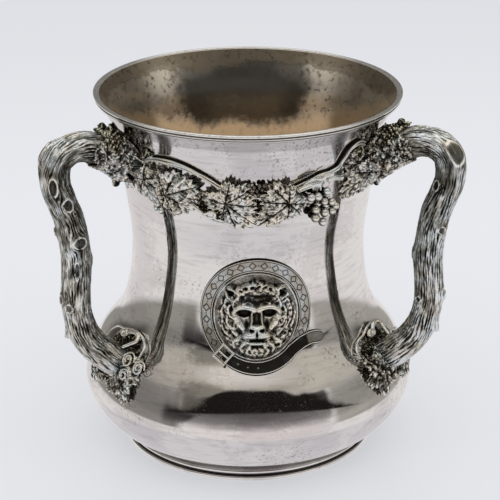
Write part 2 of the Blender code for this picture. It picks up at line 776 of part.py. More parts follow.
def make_medallion():
    """Backing disc, strap ring, strap end, buckle and lion's mask on the front of the body."""
    front = make_empties({"front": MEDALLION_ANGLE}, "medallion")["front"]
    on_body = skin_place(0.0, MEDALLION_HEIGHT)

    def place(right, up, lift):
        return on_body(right, up * MEDALLION_STRETCH, lift)

    disc_radius = STRAP_OUTER_RADIUS - STRAP_WIDTH - JOINT_GAP
    disc_top = SKIN_GAP + DISC_THICKNESS
    shares = (0.33, 0.67, 1.0)
    rim = ring_points(disc_radius, 25, 0.0, 360.0)[:-1]
    disc = relief_mesh("medallion_disc", place, rim, shares, shares,
                       lambda right, up: disc_top, lambda right, up: SKIN_GAP)
    add_piece("medallion_disc", disc, GREY_SILVER, front)

    middle = STRAP_OUTER_RADIUS - STRAP_WIDTH / 2
    tail_line = strap_tail_line(middle)
    from_tip = lengths_along(tail_line[::-1])[::-1]
    rounding = np.clip(1.0 - from_tip / TAIL_ROUNDING, 0.0, 1.0)
    widths = STRAP_WIDTH * np.sqrt(1.0 - 0.8 * rounding**2)
    tail = strip_mesh("strap_end", place, tail_line, widths, SKIN_GAP, STRAP_THICKNESS)
    add_piece("strap_end", tail, BRIGHT_SILVER, front)

    ring_start = ring_start_angle(tail_line) + math.degrees(2 * JOINT_GAP / STRAP_OUTER_RADIUS)
    line = ring_points(middle, 26, ring_start, BUCKLE_ANGLE - math.degrees(JOINT_GAP / middle))
    ring = strip_mesh("strap_ring", place, line, [STRAP_WIDTH] * len(line), SKIN_GAP,
                      STRAP_THICKNESS)
    add_piece("strap_ring", ring, BRIGHT_SILVER, front)

    reach = min(MASK_HALF_WIDTH, disc_radius - JOINT_GAP) / MASK_HALF_WIDTH
    outline = []
    for k in range(2 * MASK_TUFTS):
        angle = math.pi * k / MASK_TUFTS
        tuft = reach * (0.95 + 0.05 * math.cos(MASK_TUFTS * angle))
        outline.append((MASK_HALF_WIDTH * tuft * math.cos(angle),
                        MASK_HALF_HEIGHT * tuft * math.sin(angle)))
    mask_base = disc_top + JOINT_GAP + 2 * bow(disc_radius * shares[0], WAIST_RADIUS)
    mask = relief_mesh("lion_mask", place, outline, (0.15, 0.3, 0.45, 0.6, 0.8, 1.0),
                       (0.33, 0.67, 1.0), mask_lift(mask_base), lambda right, up: mask_base)
    add_piece("lion_mask", mask, GREY_SILVER, front)

    over_strap = SKIN_GAP + STRAP_THICKNESS + JOINT_GAP + 4 * bow(STRAP_WIDTH, WAIST_RADIUS)
    turn = math.radians(BUCKLE_ANGLE)
    spot = (middle * math.cos(turn), middle * math.sin(turn))
    corners = ((-1, -1), (1, -1), (1, 1), (-1, 1), (-1, -1))
    frame = []
    for start, end in zip(corners, corners[1:]):
        for share in (0.0, 0.25, 0.5, 0.75):
            along = (start[0] + (end[0] - start[0]) * share) * BUCKLE_LENGTH / 2
            across = (start[1] + (end[1] - start[1]) * share) * BUCKLE_WIDTH / 2
            frame.append((spot[0] - along * math.sin(turn) + across * math.cos(turn),
                          spot[1] + along * math.cos(turn) + across * math.sin(turn)))
    buckle = strip_mesh("buckle", place, frame, [BUCKLE_BAR] * len(frame), over_strap,
                        STRAP_THICKNESS, closed=True)
    add_piece("buckle", buckle, BRIGHT_SILVER, front)


def main():
    for old in list(bpy.data.objects):
        bpy.data.objects.remove(old, do_unlink=True)
    bpy.context.scene.collection.children.link(COLLECTION)
    bpy.context.scene.collection.children.link(CUTTERS)
    make_body()
    make_rim()
    make_foot()
    handle_places = make_empties(HANDLE_ANGLES, "handle")
    add_copies("handle", make_handle_mesh(), GREY_SILVER, handle_places)
    make_joint_leaves(handle_places)
    make_buds(handle_places)
    make_curls(handle_places)
    bay_places = make_empties(BAY_ANGLES, "bay")
    make_stem(bay_places)
    make_garland_leaves(bay_places)
    make_grapes(bay_places)
    make_tendril(bay_places)
    make_medallion()


main()
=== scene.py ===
import math

import bmesh
import bpy
import numpy as np
from mathutils import Matrix, noise


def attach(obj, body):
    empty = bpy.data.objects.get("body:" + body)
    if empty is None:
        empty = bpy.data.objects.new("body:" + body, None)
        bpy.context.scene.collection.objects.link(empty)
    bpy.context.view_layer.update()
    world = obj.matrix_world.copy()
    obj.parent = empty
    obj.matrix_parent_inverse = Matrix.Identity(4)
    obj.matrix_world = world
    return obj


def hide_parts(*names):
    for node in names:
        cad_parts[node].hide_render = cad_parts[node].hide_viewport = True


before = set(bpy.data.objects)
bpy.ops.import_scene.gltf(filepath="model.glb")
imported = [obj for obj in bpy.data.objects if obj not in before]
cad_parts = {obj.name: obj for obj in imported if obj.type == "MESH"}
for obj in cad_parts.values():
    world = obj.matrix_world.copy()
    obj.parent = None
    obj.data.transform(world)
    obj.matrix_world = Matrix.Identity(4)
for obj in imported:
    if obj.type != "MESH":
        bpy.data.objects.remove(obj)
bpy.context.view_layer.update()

# Studio: the cup stands on a pale table in even white light. The mirror-like
# metal shows a dim room over the table's edge, a dark band at the lens's
# height, and a paler ceiling.
CAMERA_PLACE = (-0.0470, -0.8966, 0.4770)
CAMERA_TILT = 22.285
CAMERA_TURN = 3.0
LENS = 122.4
AXIS_LEFT_OF_CENTRE = 0.0041
TABLE_SIZE = 8.0
TABLE_NEAR = (0.810, 0.825, 0.865)
TABLE_FAR_SHADED = (0.715, 0.730, 0.770)
TABLE_GLOW = 0.55


class Signal:
    """Output of a shader node; arithmetic with it adds Math nodes to its tree."""

    def __init__(self, socket):
        self.socket = socket
        self.tree = socket.id_data

    def calc(self, operation, *others):
        """Result of a Math node."""
        return Signal(add_node(self.tree, "Math", self, *others, operation=operation).outputs[0])

    def __add__(self, other):
        return self.calc("ADD", other)

    def __sub__(self, other):
        return self.calc("SUBTRACT", other)

    def __mul__(self, other):
        return self.calc("MULTIPLY", other)

    def __truediv__(self, other):
        return self.calc("DIVIDE", other)

    def __pow__(self, other):
        return self.calc("POWER", other)

    def __abs__(self):
        return self.calc("ABSOLUTE")


def connect(feed, socket):
    """Feed an input with a signal, or set it to a plain value or colour."""
    if isinstance(feed, Signal):
        feed.tree.links.new(feed.socket, socket)
    elif feed is not None:
        socket.default_value = (*feed, 1.0) if socket.type == "RGBA" else feed


def add_node(tree, kind, *feeds, **settings):
    """New node with the given settings; its inputs take values or signals."""
    made = tree.nodes.new("ShaderNode" + kind)
    for name, value in settings.items():
        setattr(made, name, value)
    for socket, feed in zip(made.inputs, feeds):
        connect(feed, socket)
    return made


def read(tree, kind, output, **settings):
    """Signal from a node that has no inputs of its own."""
    return Signal(add_node(tree, kind, **settings).outputs[output])


def split(place):
    """The three coordinates of a place."""
    return [Signal(part) for part in add_node(place.tree, "SeparateXYZ", place).outputs]


def clouds(place, scale, detail, rough):
    """Noise between 0 and 1, with marks of about one over the scale."""
    return Signal(add_node(place.tree, "TexNoise", place, None, scale, detail, rough).outputs[0])


def rise(value, start, end):
    """0 below start and 1 above end, with a smooth step between them."""
    step = add_node(value.tree, "MapRange", value, start, end, interpolation_type="SMOOTHSTEP")
    return Signal(step.outputs[0])


def mixed(share, first, second):
    """Colour part of the way from the first to the second."""
    tree = next(feed.tree for feed in (share, first, second) if isinstance(feed, Signal))
    mix = add_node(tree, "Mix", share, data_type="RGBA")
    connect(first, mix.inputs[6])
    connect(second, mix.inputs[7])
    return Signal(mix.outputs[2])


def make_world():
    """White light for all but mirror reflections, which see the room."""
    world = bpy.data.worlds.new("studio")
    bpy.context.scene.world = world
    world.use_nodes = True
    tree = world.node_tree
    tree.nodes.clear()
    direction = read(tree, "TexCoord", "Generated")
    x, y, z = split(direction)
    turn = x.calc("ARCTAN2", y * -1.0).calc("DEGREES")
    up = z.calc("ARCSINE").calc("DEGREES")
    aside = abs(turn)
    hazy = (clouds(direction, 5.0, 5.0, 0.62) - 0.5) * 26.0

    # The paper on the table, and the walls of the room beyond its edge: dim low
    # down, nearly dark behind the cup, and pale under a bright ceiling
    paper_near = mixed(rise(up, -38.0, -30.0), (0.685, 0.67, 0.695), (0.79, 0.77, 0.765))
    lit = mixed(rise(turn, -70.0, 70.0), (0.31, 0.297, 0.275), (0.42, 0.40, 0.37))
    wall = mixed(rise(up + hazy, 15.0, 42.0), lit, (0.53, 0.50, 0.44))
    past_table = rise(up, -3.0, 8.0)
    wall = mixed(past_table * rise(up, 24.0, 13.0) * 0.4, wall, (0.11, 0.105, 0.10))
    wall = mixed(rise(aside, 92.0, 108.0) * past_table * 0.88, wall, (0.05, 0.046, 0.04))
    wall = mixed(rise(up, 42.0, 58.0), wall, (0.95, 0.925, 0.88))
    room = mixed(rise(up, -14.0, -9.5), paper_near, wall)
    # A rounded patch in front, ever darker towards the lens that shades it
    shade = mixed(rise(hazy * 0.35 + up, -8.0, 13.0), (0.79, 0.745, 0.74), (0.205, 0.193, 0.19))
    shade = mixed(rise(up, 11.0, 21.0), shade, (0.115, 0.107, 0.104))
    shaded = ((turn - 2.5) / 54.5)**2.0 + ((up - 15.0) / 47.0)**2.0
    front = mixed(rise(shaded, 1.08, 0.90), paper_near, shade)
    high = mixed(rise(up, 21.0, 25.0), front, room)
    seen = mixed(rise(abs(turn - 4.0), 49.0, 58.0), high, room)
    # The dark lens and its black hood, arched over the middle, the brown things
    # above them, and a stand at the left
    bow = (turn / 62.0)**2.0
    over = rise(up - (bow * -12.0 + 21.5), -0.6, 0.8)
    top = turn * -0.2 + (bow * -10.0 + 40.0)
    brown = rise(top - (hazy * 0.4 + up), -3.0, 3.0) * over
    brown = brown * rise(hazy * 1.6 + aside, 62.0, 50.0) * rise(turn, 36.0, 26.0)
    seen = mixed(brown * 0.72, seen, (0.145, 0.132, 0.112))
    stand = up * 0.32 + 7.5 - abs(turn - (up * 0.30 - 55.0))
    stand = rise(stand, -2.5, 3.0) * rise(up, 20.0, 13.0) * rise(up, -16.0, 14.0)
    seen = mixed(stand * 0.97, seen, (0.035, 0.032, 0.031))
    under = bow * -20.0 + 30.0 - (hazy * 0.3 + up)
    under = rise(aside, 36.0, 21.0) * 12.0 + under
    under = rise(turn, 30.0, 38.0) * 3.5 + under
    seen = mixed(over * rise(under, -3.0, 2.5), seen, (0.012, 0.010, 0.009))
    path = add_node(tree, "LightPath").outputs
    plain = mixed(Signal(path["Is Camera Ray"]), (1.0, 1.0, 1.0), TABLE_FAR_SHADED)
    background = add_node(tree, "Background", mixed(Signal(path["Is Glossy Ray"]), plain, seen), 1.0)
    tree.links.new(background.outputs[0], add_node(tree, "OutputWorld").inputs[0])


make_world()

table_material = bpy.data.materials.new("table_paper")
table_material.use_nodes = True
table_tree = table_material.node_tree
paper = table_tree.nodes["Principled BSDF"].inputs
# The paper is painted darker towards the far side: painted shade where the light falls off
_, away, _ = split(read(table_tree, "TexCoord", "Object"))
sheet = mixed(rise(away, 0.15, 1.10), TABLE_NEAR, TABLE_FAR_SHADED)
connect(mixed(TABLE_GLOW, sheet, (0.0, 0.0, 0.0)), paper["Base Color"])
connect(sheet, paper["Emission Color"])
connect(read(table_tree, "LightPath", "Is Camera Ray") * TABLE_GLOW, paper["Emission Strength"])
paper["Roughness"].default_value = 0.9
bpy.ops.mesh.primitive_plane_add(size=TABLE_SIZE)
table = bpy.context.object
table.name = "table"
table.data.materials.append(table_material)
table.visible_glossy = False

camera_data = bpy.data.cameras.new("camera")
camera_data.lens = LENS
camera_data.shift_x = AXIS_LEFT_OF_CENTRE
camera = bpy.data.objects.new("camera", camera_data)
camera.location = CAMERA_PLACE
camera.rotation_euler = (math.radians(90.0 - CAMERA_TILT), 0.0, math.radians(-CAMERA_TURN))
bpy.context.scene.collection.objects.link(camera)
bpy.context.scene.camera = camera
bpy.context.scene.view_settings.view_transform = "Standard"


# Body: raised from one sheet of silver over stakes, so its wall is even and
# faintly wavy. Polished outside, with clouds of tarnish and fine scratches.
CUP_HEIGHT = 0.2055
RIM_RADIUS = 0.085
WAIST_RADIUS = 0.0657
WAIST_HEIGHT = 0.115
BELLY_RADIUS = 0.0944
BELLY_HEIGHT = 0.0361
BODY_WALL = 0.0011
SEAT_WIDTH = 0.0035
RIM_WIDTH = 0.0022
FOOT_RADIUS = 0.0725
FOOT_HEIGHT = 0.0093
JOINT_GAP = 0.0003
TURNED_SIDES = 240
HAMMERING = 0.00003
HAMMER_MARK = 0.022
# The blows only sink the wall: this much more than they wave it
HAMMER_SINK = 2.2
# Points of the outline darkened with grime and painted shade, from the seat up: first, end and strength
SEAT_GRIME_AND_SHADE = ((0, 4, 0.55), (4, 9, 0.30))
LIP_GRIME_AND_SHADE_POINTS = 5


def smooth_curve(points, steps):
    """Points on a smooth curve through the given ones, with steps of them in each span."""
    points = [np.array(point, dtype=float) for point in points]
    spans = [np.linalg.norm(b - a) for a, b in zip(points, points[1:])]
    slopes = [(b - a) / span for a, b, span in zip(points, points[1:], spans)]
    tangents = [slopes[0]]
    for before, after, a, b in zip(spans, spans[1:], slopes, slopes[1:]):
        tangents.append((a * after + b * before) / (before + after))
    tangents.append(slopes[-1])
    curve = []
    for i, span in enumerate(spans):
        start, end = points[i], points[i + 1]
        leave, arrive = tangents[i] * span, tangents[i + 1] * span
        for t in np.arange(steps) / steps:
            curve.append((2 * t**3 - 3 * t**2 + 1) * start + (t**3 - 2 * t**2 + t) * leave
                         + (3 * t**2 - 2 * t**3) * end + (t**3 - t**2) * arrive)
    curve.append(points[-1])
    return np.array(curve)


def lengths_along(points):
    """Distance from the first point to each point, along the line."""
    return np.concatenate([[0.0], np.cumsum(np.linalg.norm(np.diff(points, axis=0), axis=1))])


def between(start, end, height_share, radius_share):
    """A (radius, height) point part of the way from start to end."""
    return (start[0] + (end[0] - start[0]) * radius_share,
            start[1] + (end[1] - start[1]) * height_share)


def body_outline():
    """Outer (radius, height) points of the body, from its seat on the foot up to the lip."""
    seat = (FOOT_RADIUS - JOINT_GAP, FOOT_HEIGHT)
    belly = (BELLY_RADIUS, BELLY_HEIGHT)
    waist = (WAIST_RADIUS, WAIST_HEIGHT)
    lip = (RIM_RADIUS - RIM_WIDTH - JOINT_GAP, CUP_HEIGHT - RIM_WIDTH / 2)
    knots = (seat, between(seat, belly, 0.22, 0.485), belly, between(belly, waist, 0.28, 0.25),
             between(belly, waist, 0.54, 0.745), waist, between(waist, lip, 0.39, 0.19),
             between(waist, lip, 0.815, 0.58), lip)
    return smooth_curve(knots, 14)


OUTLINE = body_outline()
OUTLINE_LENGTHS = lengths_along(OUTLINE)
SLOPES = np.gradient(OUTLINE, OUTLINE_LENGTHS, axis=0)
SLOPES /= np.linalg.norm(SLOPES, axis=1)[:, None]


def finish_mesh(bm, mesh, crease=40.0):
    """Fill a mesh from a bmesh, facing out and shaded smooth but for its creases."""
    bmesh.ops.recalc_face_normals(bm, faces=bm.faces[:])
    bm.to_mesh(mesh)
    bm.free()
    mesh.shade_smooth()
    mesh.set_sharp_from_angle(angle=math.radians(crease))
    return mesh


def turned_mesh(name, outline, grime_and_shade_spans=()):
    """Outline turned about the axis; spans of grime and painted shade are (first point, end point,
    strength).
    """
    bm = bmesh.new()
    verts = [bm.verts.new((radius, 0.0, height)) for radius, height in outline]
    edges = [bm.edges.new(pair) for pair in zip(verts, verts[1:] + verts[:1])]
    bmesh.ops.spin(bm, geom=verts + edges, cent=(0, 0, 0), axis=(0, 0, 1), angle=math.tau,
                   steps=TURNED_SIDES, use_merge=True)
    bmesh.ops.remove_doubles(bm, verts=bm.verts[:], dist=1e-6)
    mesh = finish_mesh(bm, bpy.data.meshes.new(name))
    if grime_and_shade_spans:
        held = np.zeros(len(outline))
        for first, end, strength in grime_and_shade_spans:
            held[first:end] = strength
        places = np.array([vert.co for vert in mesh.vertices])
        spots = np.column_stack([np.hypot(places[:, 0], places[:, 1]), places[:, 2]])
        nearest = np.linalg.norm(spots[:, None] - np.array(outline), axis=2).argmin(axis=1)
        mesh.attributes.new("grime_and_shade", "FLOAT", "POINT").data.foreach_set("value", held[nearest])
    return mesh


def add_piece(name, mesh, material, slot, *replaced, turn=0.0):
    """Put a piece on the cup, turned about its axis, in place of the solids it stands for."""
    if turn:
        mesh = mesh.copy()
        mesh.transform(Matrix.Rotation(math.radians(turn), 4, "Z"))
    mesh.materials.append(material)
    piece = bpy.data.objects.new(name, mesh)
    bpy.context.scene.collection.objects.link(piece)
    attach(piece, "root")
    if replaced:
        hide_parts(*replaced)
    return piece


def new_group(name, inputs, outputs):
    """Shader node group: its tree, the signals given to it, and its output node's inputs."""
    tree = bpy.data.node_groups.new(name, "ShaderNodeTree")
    for label, value in inputs.items():
        kind = "Color" if isinstance(value, tuple) else "Float"
        socket = tree.interface.new_socket(label, in_out="INPUT", socket_type="NodeSocket" + kind)
        socket.default_value = (*value, 1.0) if isinstance(value, tuple) else value
    for label in outputs:
        kind = "Color" if label == "Color" else "Float"
        tree.interface.new_socket(label, in_out="OUTPUT", socket_type="NodeSocket" + kind)
    given = {socket.name: Signal(socket) for socket in tree.nodes.new("NodeGroupInput").outputs}
    return tree, given, tree.nodes.new("NodeGroupOutput").inputs


def stretched(place, turn, scale):
    """Place turned by angles in radians and then scaled, for noise that runs one way."""
    return Signal(add_node(place.tree, "Mapping", place, None, turn, scale).outputs[0])


def make_tarnish():
    """Effect shared by the polished pieces: clouds with dark rims, stipple, grime and painted shade in
    grooves.
    """
    tree, given, result = new_group(
        "tarnish",
        {"Clean": (0.86, 0.84, 0.825), "Cloud": (0.71, 0.675, 0.68), "Stain": (0.25, 0.22, 0.19),
         "Amount": 0.5},
        ("Color", "Roughness", "Height"))
    amount = given["Amount"]
    place = read(tree, "TexCoord", "Object")
    fine = clouds(place, 260.0, 4.0, 0.7)
    patchy = clouds(place, 24.0, 6.0, 0.60) + (fine - 0.5) * 0.30
    cloud = rise(patchy, 0.44, 0.62) * amount
    tide = rise(abs(patchy - 0.525), 0.016, 0.0) * amount
    wiped = stretched(place, (0.04, 0.03, 0.1), (55.0, 55.0, 480.0))
    wiped = rise(clouds(wiped, 1.0, 4.0, 0.62), 0.48, 0.70) * amount
    _, _, height = split(place)
    grouped = rise(height, 0.160, 0.178) * 0.095 + clouds(place, 33.0, 4.0, 0.7)
    dots = rise(clouds(place, 620.0, 3.0, 0.6), 0.54, 0.64)
    speck = dots * rise(grouped, 0.53, 0.64) * amount
    colour = mixed(cloud, given["Clean"], given["Cloud"])
    for share in (tide * 0.20, wiped * 0.30, speck * 0.75):
        colour = mixed(share, colour, given["Stain"])
    # Grime and painted shade: grooves, the seat and the body under the lip go almost black
    grime_and_shade = read(tree, "Attribute", "Fac", attribute_name="grime_and_shade")
    grime_and_shade = grime_and_shade * rise(patchy + grime_and_shade, 0.35, 0.80)
    colour = mixed(grime_and_shade * 0.94, colour, (0.022, 0.018, 0.012))
    scratch = clouds(stretched(place, (0.5, 0.3, 0.2), (900.0, 900.0, 40.0)), 1.0, 3.0, 0.6)
    rough = cloud * 0.06 + 0.035 + speck * 0.25 + grime_and_shade * 0.3 + rise(scratch, 0.56, 0.72) * 0.07
    connect(colour, result["Color"])
    connect(rough, result["Roughness"])
    connect(scratch * 0.6 + fine, result["Height"])
    return tree


TARNISH = make_tarnish()


def new_metal(name, effect, depth, **values):
    """Metal whose colour, roughness and fine relief come from one shared effect."""
    material = bpy.data.materials.new(name)
    material.use_nodes = True
    tree = material.node_tree
    shader = tree.nodes["Principled BSDF"].inputs
    shader["Metallic"].default_value = 1.0
    group = add_node(tree, "Group", node_tree=effect)
    for label, value in values.items():
        connect(value, group.inputs[label])
    for label, fed in (("Color", "Base Color"), ("Roughness", "Roughness"), ("Metallic", "Metallic")):
        if label in group.outputs:
            tree.links.new(group.outputs[label], shader[fed])
    bump_node = add_node(tree, "Bump")
    bump_node.inputs["Strength"].default_value = 1.0
    bump_node.inputs["Distance"].default_value = depth
    tree.links.new(group.outputs["Height"], bump_node.inputs["Height"])
    tree.links.new(bump_node.outputs[0], shader["Normal"])
    return material


def make_body():
    """Wall with a seat turned in at the foot, and its slight hammered waviness."""
    normals = np.column_stack([SLOPES[:, 1], -SLOPES[:, 0]])
    inner = OUTLINE[1:] - BODY_WALL * normals[1:]
    inner[-1] = (OUTLINE[-1][0] - BODY_WALL, OUTLINE[-1][1])
    seat_radius = OUTLINE[0][0] - SEAT_WIDTH
    seat = [(seat_radius, FOOT_HEIGHT), (seat_radius, FOOT_HEIGHT + BODY_WALL)]
    # Grime and painted shade at the seat and under the lip
    mesh = turned_mesh("raised_body", [*OUTLINE[::-1], *seat, *inner],
                       (*SEAT_GRIME_AND_SHADE, (len(OUTLINE) - LIP_GRIME_AND_SHADE_POINTS, len(OUTLINE), 0.6)))
    for vert in mesh.vertices:
        radius = math.hypot(vert.co.x, vert.co.y)
        wave = HAMMERING * (noise.noise(vert.co / HAMMER_MARK) - HAMMER_SINK) / radius
        vert.co.x += vert.co.x * wave
        vert.co.y += vert.co.y * wave
    return mesh


polished_silver = new_metal("polished_silver_tarnished", TARNISH, 0.000006, Amount=0.8)
add_piece("raised_body", make_body(), polished_silver, "polished_silver", "body_shell")


# Gilding: a thin wash of gold fired onto the inside. It is left bright low down,
# toned above that, and dull brown in a ragged band under the lip. The toned far wall
# is painted almost black and the sides brown, as painted shade.
GILDING_GAP = 0.00012
GILT_LEVEL = 0.1985
GILT_TILT = 0.5
DULL_LEVEL = 0.1970


def make_gilding():
    """Skin just off the inner wall, from above the seat to the lip."""
    normals = np.column_stack([SLOPES[:, 1], -SLOPES[:, 0]])
    line, backing = ((OUTLINE - (BODY_WALL + gap) * normals)[3:]
                     for gap in (GILDING_GAP, GILDING_GAP / 2))
    return turned_mesh("gilding", [*line, *backing[::-1]])


def make_toned_gold():
    """Effect of the worn gilding: three bands with ragged, blotchy edges, and painted shade on the far
    wall and sides.
    """
    tree, given, result = new_group(
        "toned_gold",
        {"Gold": (1.0, 0.79, 0.53), "Toned": (0.97, 0.89, 0.77), "Dull": (0.36, 0.30, 0.22),
         "Stain": (0.17, 0.145, 0.11), "Shade_Black": (0.22, 0.21, 0.19)},
        ("Color", "Roughness", "Metallic", "Height"))
    place = read(tree, "TexCoord", "Object")
    x, y, z = split(place)
    fine = clouds(place, 300.0, 4.0, 0.7)
    patchy = (fine - 0.5) * 0.4 + clouds(place, 42.0, 5.0, 0.62)
    ragged = (patchy - 0.5) * 0.016
    toned = rise(y * GILT_TILT + z + ragged, GILT_LEVEL - 0.0050, GILT_LEVEL + 0.0050)
    dull = rise(z + ragged, DULL_LEVEL - 0.0024, DULL_LEVEL + 0.0024)
    tide = rise(abs(dull - 0.45), 0.30, 0.0)
    # Painted shade: where toned, the far wall goes almost black, darkest low down, and the sides of the
    # inside go brown
    facing = ragged * 8.0 + y / (x * x + y * y).calc("SQRT")
    far_wall_shade = rise(facing, 0.82, 0.90) * toned
    lowest_far_wall_shade = far_wall_shade * rise(z, 0.192, 0.179)
    aside = rise(abs(facing), 0.77, 0.63)
    blotch = rise(patchy, 0.42, 0.64)
    freckle = rise(fine, 0.52, 0.64) * 0.66
    mark = toned * (blotch * 0.35).calc("MAXIMUM", freckle)
    mark = (freckle * 0.25 + mark).calc("MAXIMUM", tide * 0.5)
    colour = mixed(toned, given["Gold"], given["Toned"])
    for share, worn_to in ((far_wall_shade * 0.92, given["Shade_Black"]), (lowest_far_wall_shade * 0.70, (0.035, 0.034, 0.031)),
                           (aside * 0.66, (0.25, 0.205, 0.145)), (dull * 0.85, given["Dull"]),
                           (mark, given["Stain"])):
        colour = mixed(share, colour, worn_to)
    solid = dull * 0.08 + (toned * 0.42 + 0.42)
    connect(colour, result["Color"])
    connect(dull * 0.16 + (toned * -0.40 + 0.60), result["Roughness"])
    connect(solid.calc("MAXIMUM", aside * 0.85), result["Metallic"])
    connect(fine, result["Height"])
    return tree


gilding = new_metal("gilding_toned", make_toned_gold(), 0.00001)
add_piece("gilding", make_gilding(), gilding, "gilt_silver")


# Rim: a drawn wire of two beads with a groove between them, and a thin lower
# bead, bent to a ring and soldered over the lip.
RIM_DEPTH = 0.0040


def arc(centre, reach, start, end, count):
    """Points of a round or oval moulding between two angles in degrees."""
    return [(centre[0] + reach[0] * math.cos(turn), centre[1] + reach[1] * math.sin(turn))
            for turn in np.radians(np.linspace(start, end, count))]


def make_rim():
    """Beads over the lip and below it, and a skirt inside them that fits the body."""
    top = CUP_HEIGHT - 0.00004
    inner = RIM_RADIUS - RIM_WIDTH
    fine, wide, low = 0.00046, 0.00074, 0.00040
    crown = arc((inner + fine, top - fine - 0.0001), (fine, fine), 190.0, 20.0, 12)
    crown += [(RIM_RADIUS - 2 * wide + 0.0001, top - 1.2 * wide)]
    crown += arc((RIM_RADIUS - wide, top - wide), (wide, wide), 160.0, -70.0, 20)
    step = [(RIM_RADIUS - 1.30 * wide, top - 2.2 * wide), (RIM_RADIUS - 1.30 * wide, top - 2.8 * wide)]
    bead = arc((RIM_RADIUS - 0.00050 - low, top - 2.8 * wide - low), (low, low), 60.0, -80.0, 9)
    lip_height = CUP_HEIGHT - RIM_WIDTH / 2 + JOINT_GAP
    skirt = [(RIM_RADIUS - 0.00115, CUP_HEIGHT - RIM_DEPTH * 0.82),
             (RIM_RADIUS - 0.00150, CUP_HEIGHT - RIM_DEPTH), (inner, CUP_HEIGHT - RIM_DEPTH),
             (inner, lip_height), (inner - BODY_WALL, lip_height)]
    first = len(crown)
    # The rim's grooves and the skirt below its beads are darkened with grime and painted shade
    return turned_mesh("rolled_rim", crown + step + bead + skirt,
                       ((11, 14, 0.75), (first - 2, first + 3, 1.0), (first + 9, first + 12, 0.9)))


# The rim's silver is paler than the body's and partly diffuse, which paints bright highlights on its
# beads
rim_silver_painted_bright = new_metal("rim_silver_painted_bright", TARNISH, 0.000001, Amount=0.4, Clean=(0.97, 0.95, 0.905),
                          Cloud=(0.86, 0.83, 0.79))
rim_silver_painted_bright.node_tree.nodes["Principled BSDF"].inputs["Metallic"].default_value = 0.82
add_piece("rolled_rim", make_rim(), rim_silver_painted_bright, "polished_silver", "rim_wire")


# Foot: a collar with a cove and a round band, over a plain wire, both swaged
# from strip. A disc let in from below closes the cup.
FOOT_WIRE_HEIGHT = 0.0024
FOOT_RING_WIDTH = 0.0050
FOOT_MOULDING_DEPTH = 0.0022
PLATE_THICKNESS = 0.0014
PLATE_RECESS = 0.0011

foot_inner = FOOT_RADIUS - FOOT_RING_WIDTH
collar_low = FOOT_WIRE_HEIGHT + JOINT_GAP
collar_high = FOOT_HEIGHT - JOINT_GAP
collar_rise = collar_high - collar_low
cove = arc((FOOT_RADIUS - FOOT_MOULDING_DEPTH * 0.30, collar_high - collar_rise * 0.17),
           (FOOT_MOULDING_DEPTH * 0.75, collar_rise * 0.17), 100.0, 260.0, 12)
band = arc((FOOT_RADIUS - FOOT_MOULDING_DEPTH * 0.55, collar_high - collar_rise * 0.58),
           (FOOT_MOULDING_DEPTH * 0.55, collar_rise * 0.20), 80.0, -80.0, 14)
groove = [(FOOT_RADIUS - FOOT_MOULDING_DEPTH, collar_high - collar_rise * 0.80),
          (FOOT_RADIUS - FOOT_MOULDING_DEPTH, collar_low)]
collar = cove + band + groove + [(foot_inner, collar_low), (foot_inner, collar_high)]
# The collar's cove and groove are darkened with grime and painted shade
collar_mesh = turned_mesh("foot_moulding", collar, ((0, 12, 0.55), (24, 28, 0.85)))
add_piece("foot_moulding", collar_mesh, polished_silver, "polished_silver", "foot_collar")

wire_edge = FOOT_WIRE_HEIGHT * 0.35
wire = (arc((FOOT_RADIUS - wire_edge, FOOT_WIRE_HEIGHT - wire_edge), (wire_edge,) * 2, 90.0, 0.0, 6)
        + arc((FOOT_RADIUS - wire_edge, wire_edge), (wire_edge,) * 2, 0.0, -90.0, 6)
        + [(foot_inner, 0.0), (foot_inner, FOOT_WIRE_HEIGHT)])
add_piece("foot_ring", turned_mesh("foot_ring", wire), polished_silver, "polished_silver",
          "foot_wire")

plate_radius = foot_inner - JOINT_GAP
plate_top = PLATE_RECESS + PLATE_THICKNESS
plate = [(0.0, plate_top)] + arc((plate_radius - 0.0003, plate_top - 0.0003), (0.0003,) * 2,
                                 90.0, 0.0, 5) + [(plate_radius, PLATE_RECESS), (0.0, PLATE_RECESS)]
add_piece("foot_plate", turned_mesh("foot_plate", plate), gilding, "gilt_silver", "base_plate")


# Branches: each handle is a hollow casting of a gnarled vine branch, with grain
# that flows round its knots, cut stubs and a thorn. It was chased after casting,
# soldered to the body at both roots, and its grooves left black with oxide.
HANDLE_RADIUS = 0.0083
HANDLE_ROOT_RADIUS = 0.0093
HANDLE_WALL = 0.0016
HANDLE_ANGLES = {"left": 210.0, "right": 330.0, "back": 90.0}
GRIP_STANDOFF = 0.0153
ARCH_OVERHANG = 0.0101
ARCH_BELOW_RIM = 0.0152
ROOT_BELOW_ARCH = 0.0093
FOOT_ABOVE_BELLY = 0.0250
SKIN_GAP = 0.0004
BRANCH_SIDES = 160
BRANCH_RINGS = 470
BARK_LINES = 33
BARK_DEPTH = 0.00090
LUMPS = 0.00045
BRANCH_REACH = 0.1280
BRANCH_SIDE_REACH = 0.1122
BARK_GIVE = 0.0003
BORE_STEP = 15
BORE_RELIEF = 0.3
KNOT_LIP_WIDTH = 0.00045
# The bark is painted brighter up on the arch, a painted highlight: from this height, over this much
# more
ARCH_HIGHLIGHT_FROM = 0.181
ARCH_HIGHLIGHT_OVER = 0.009

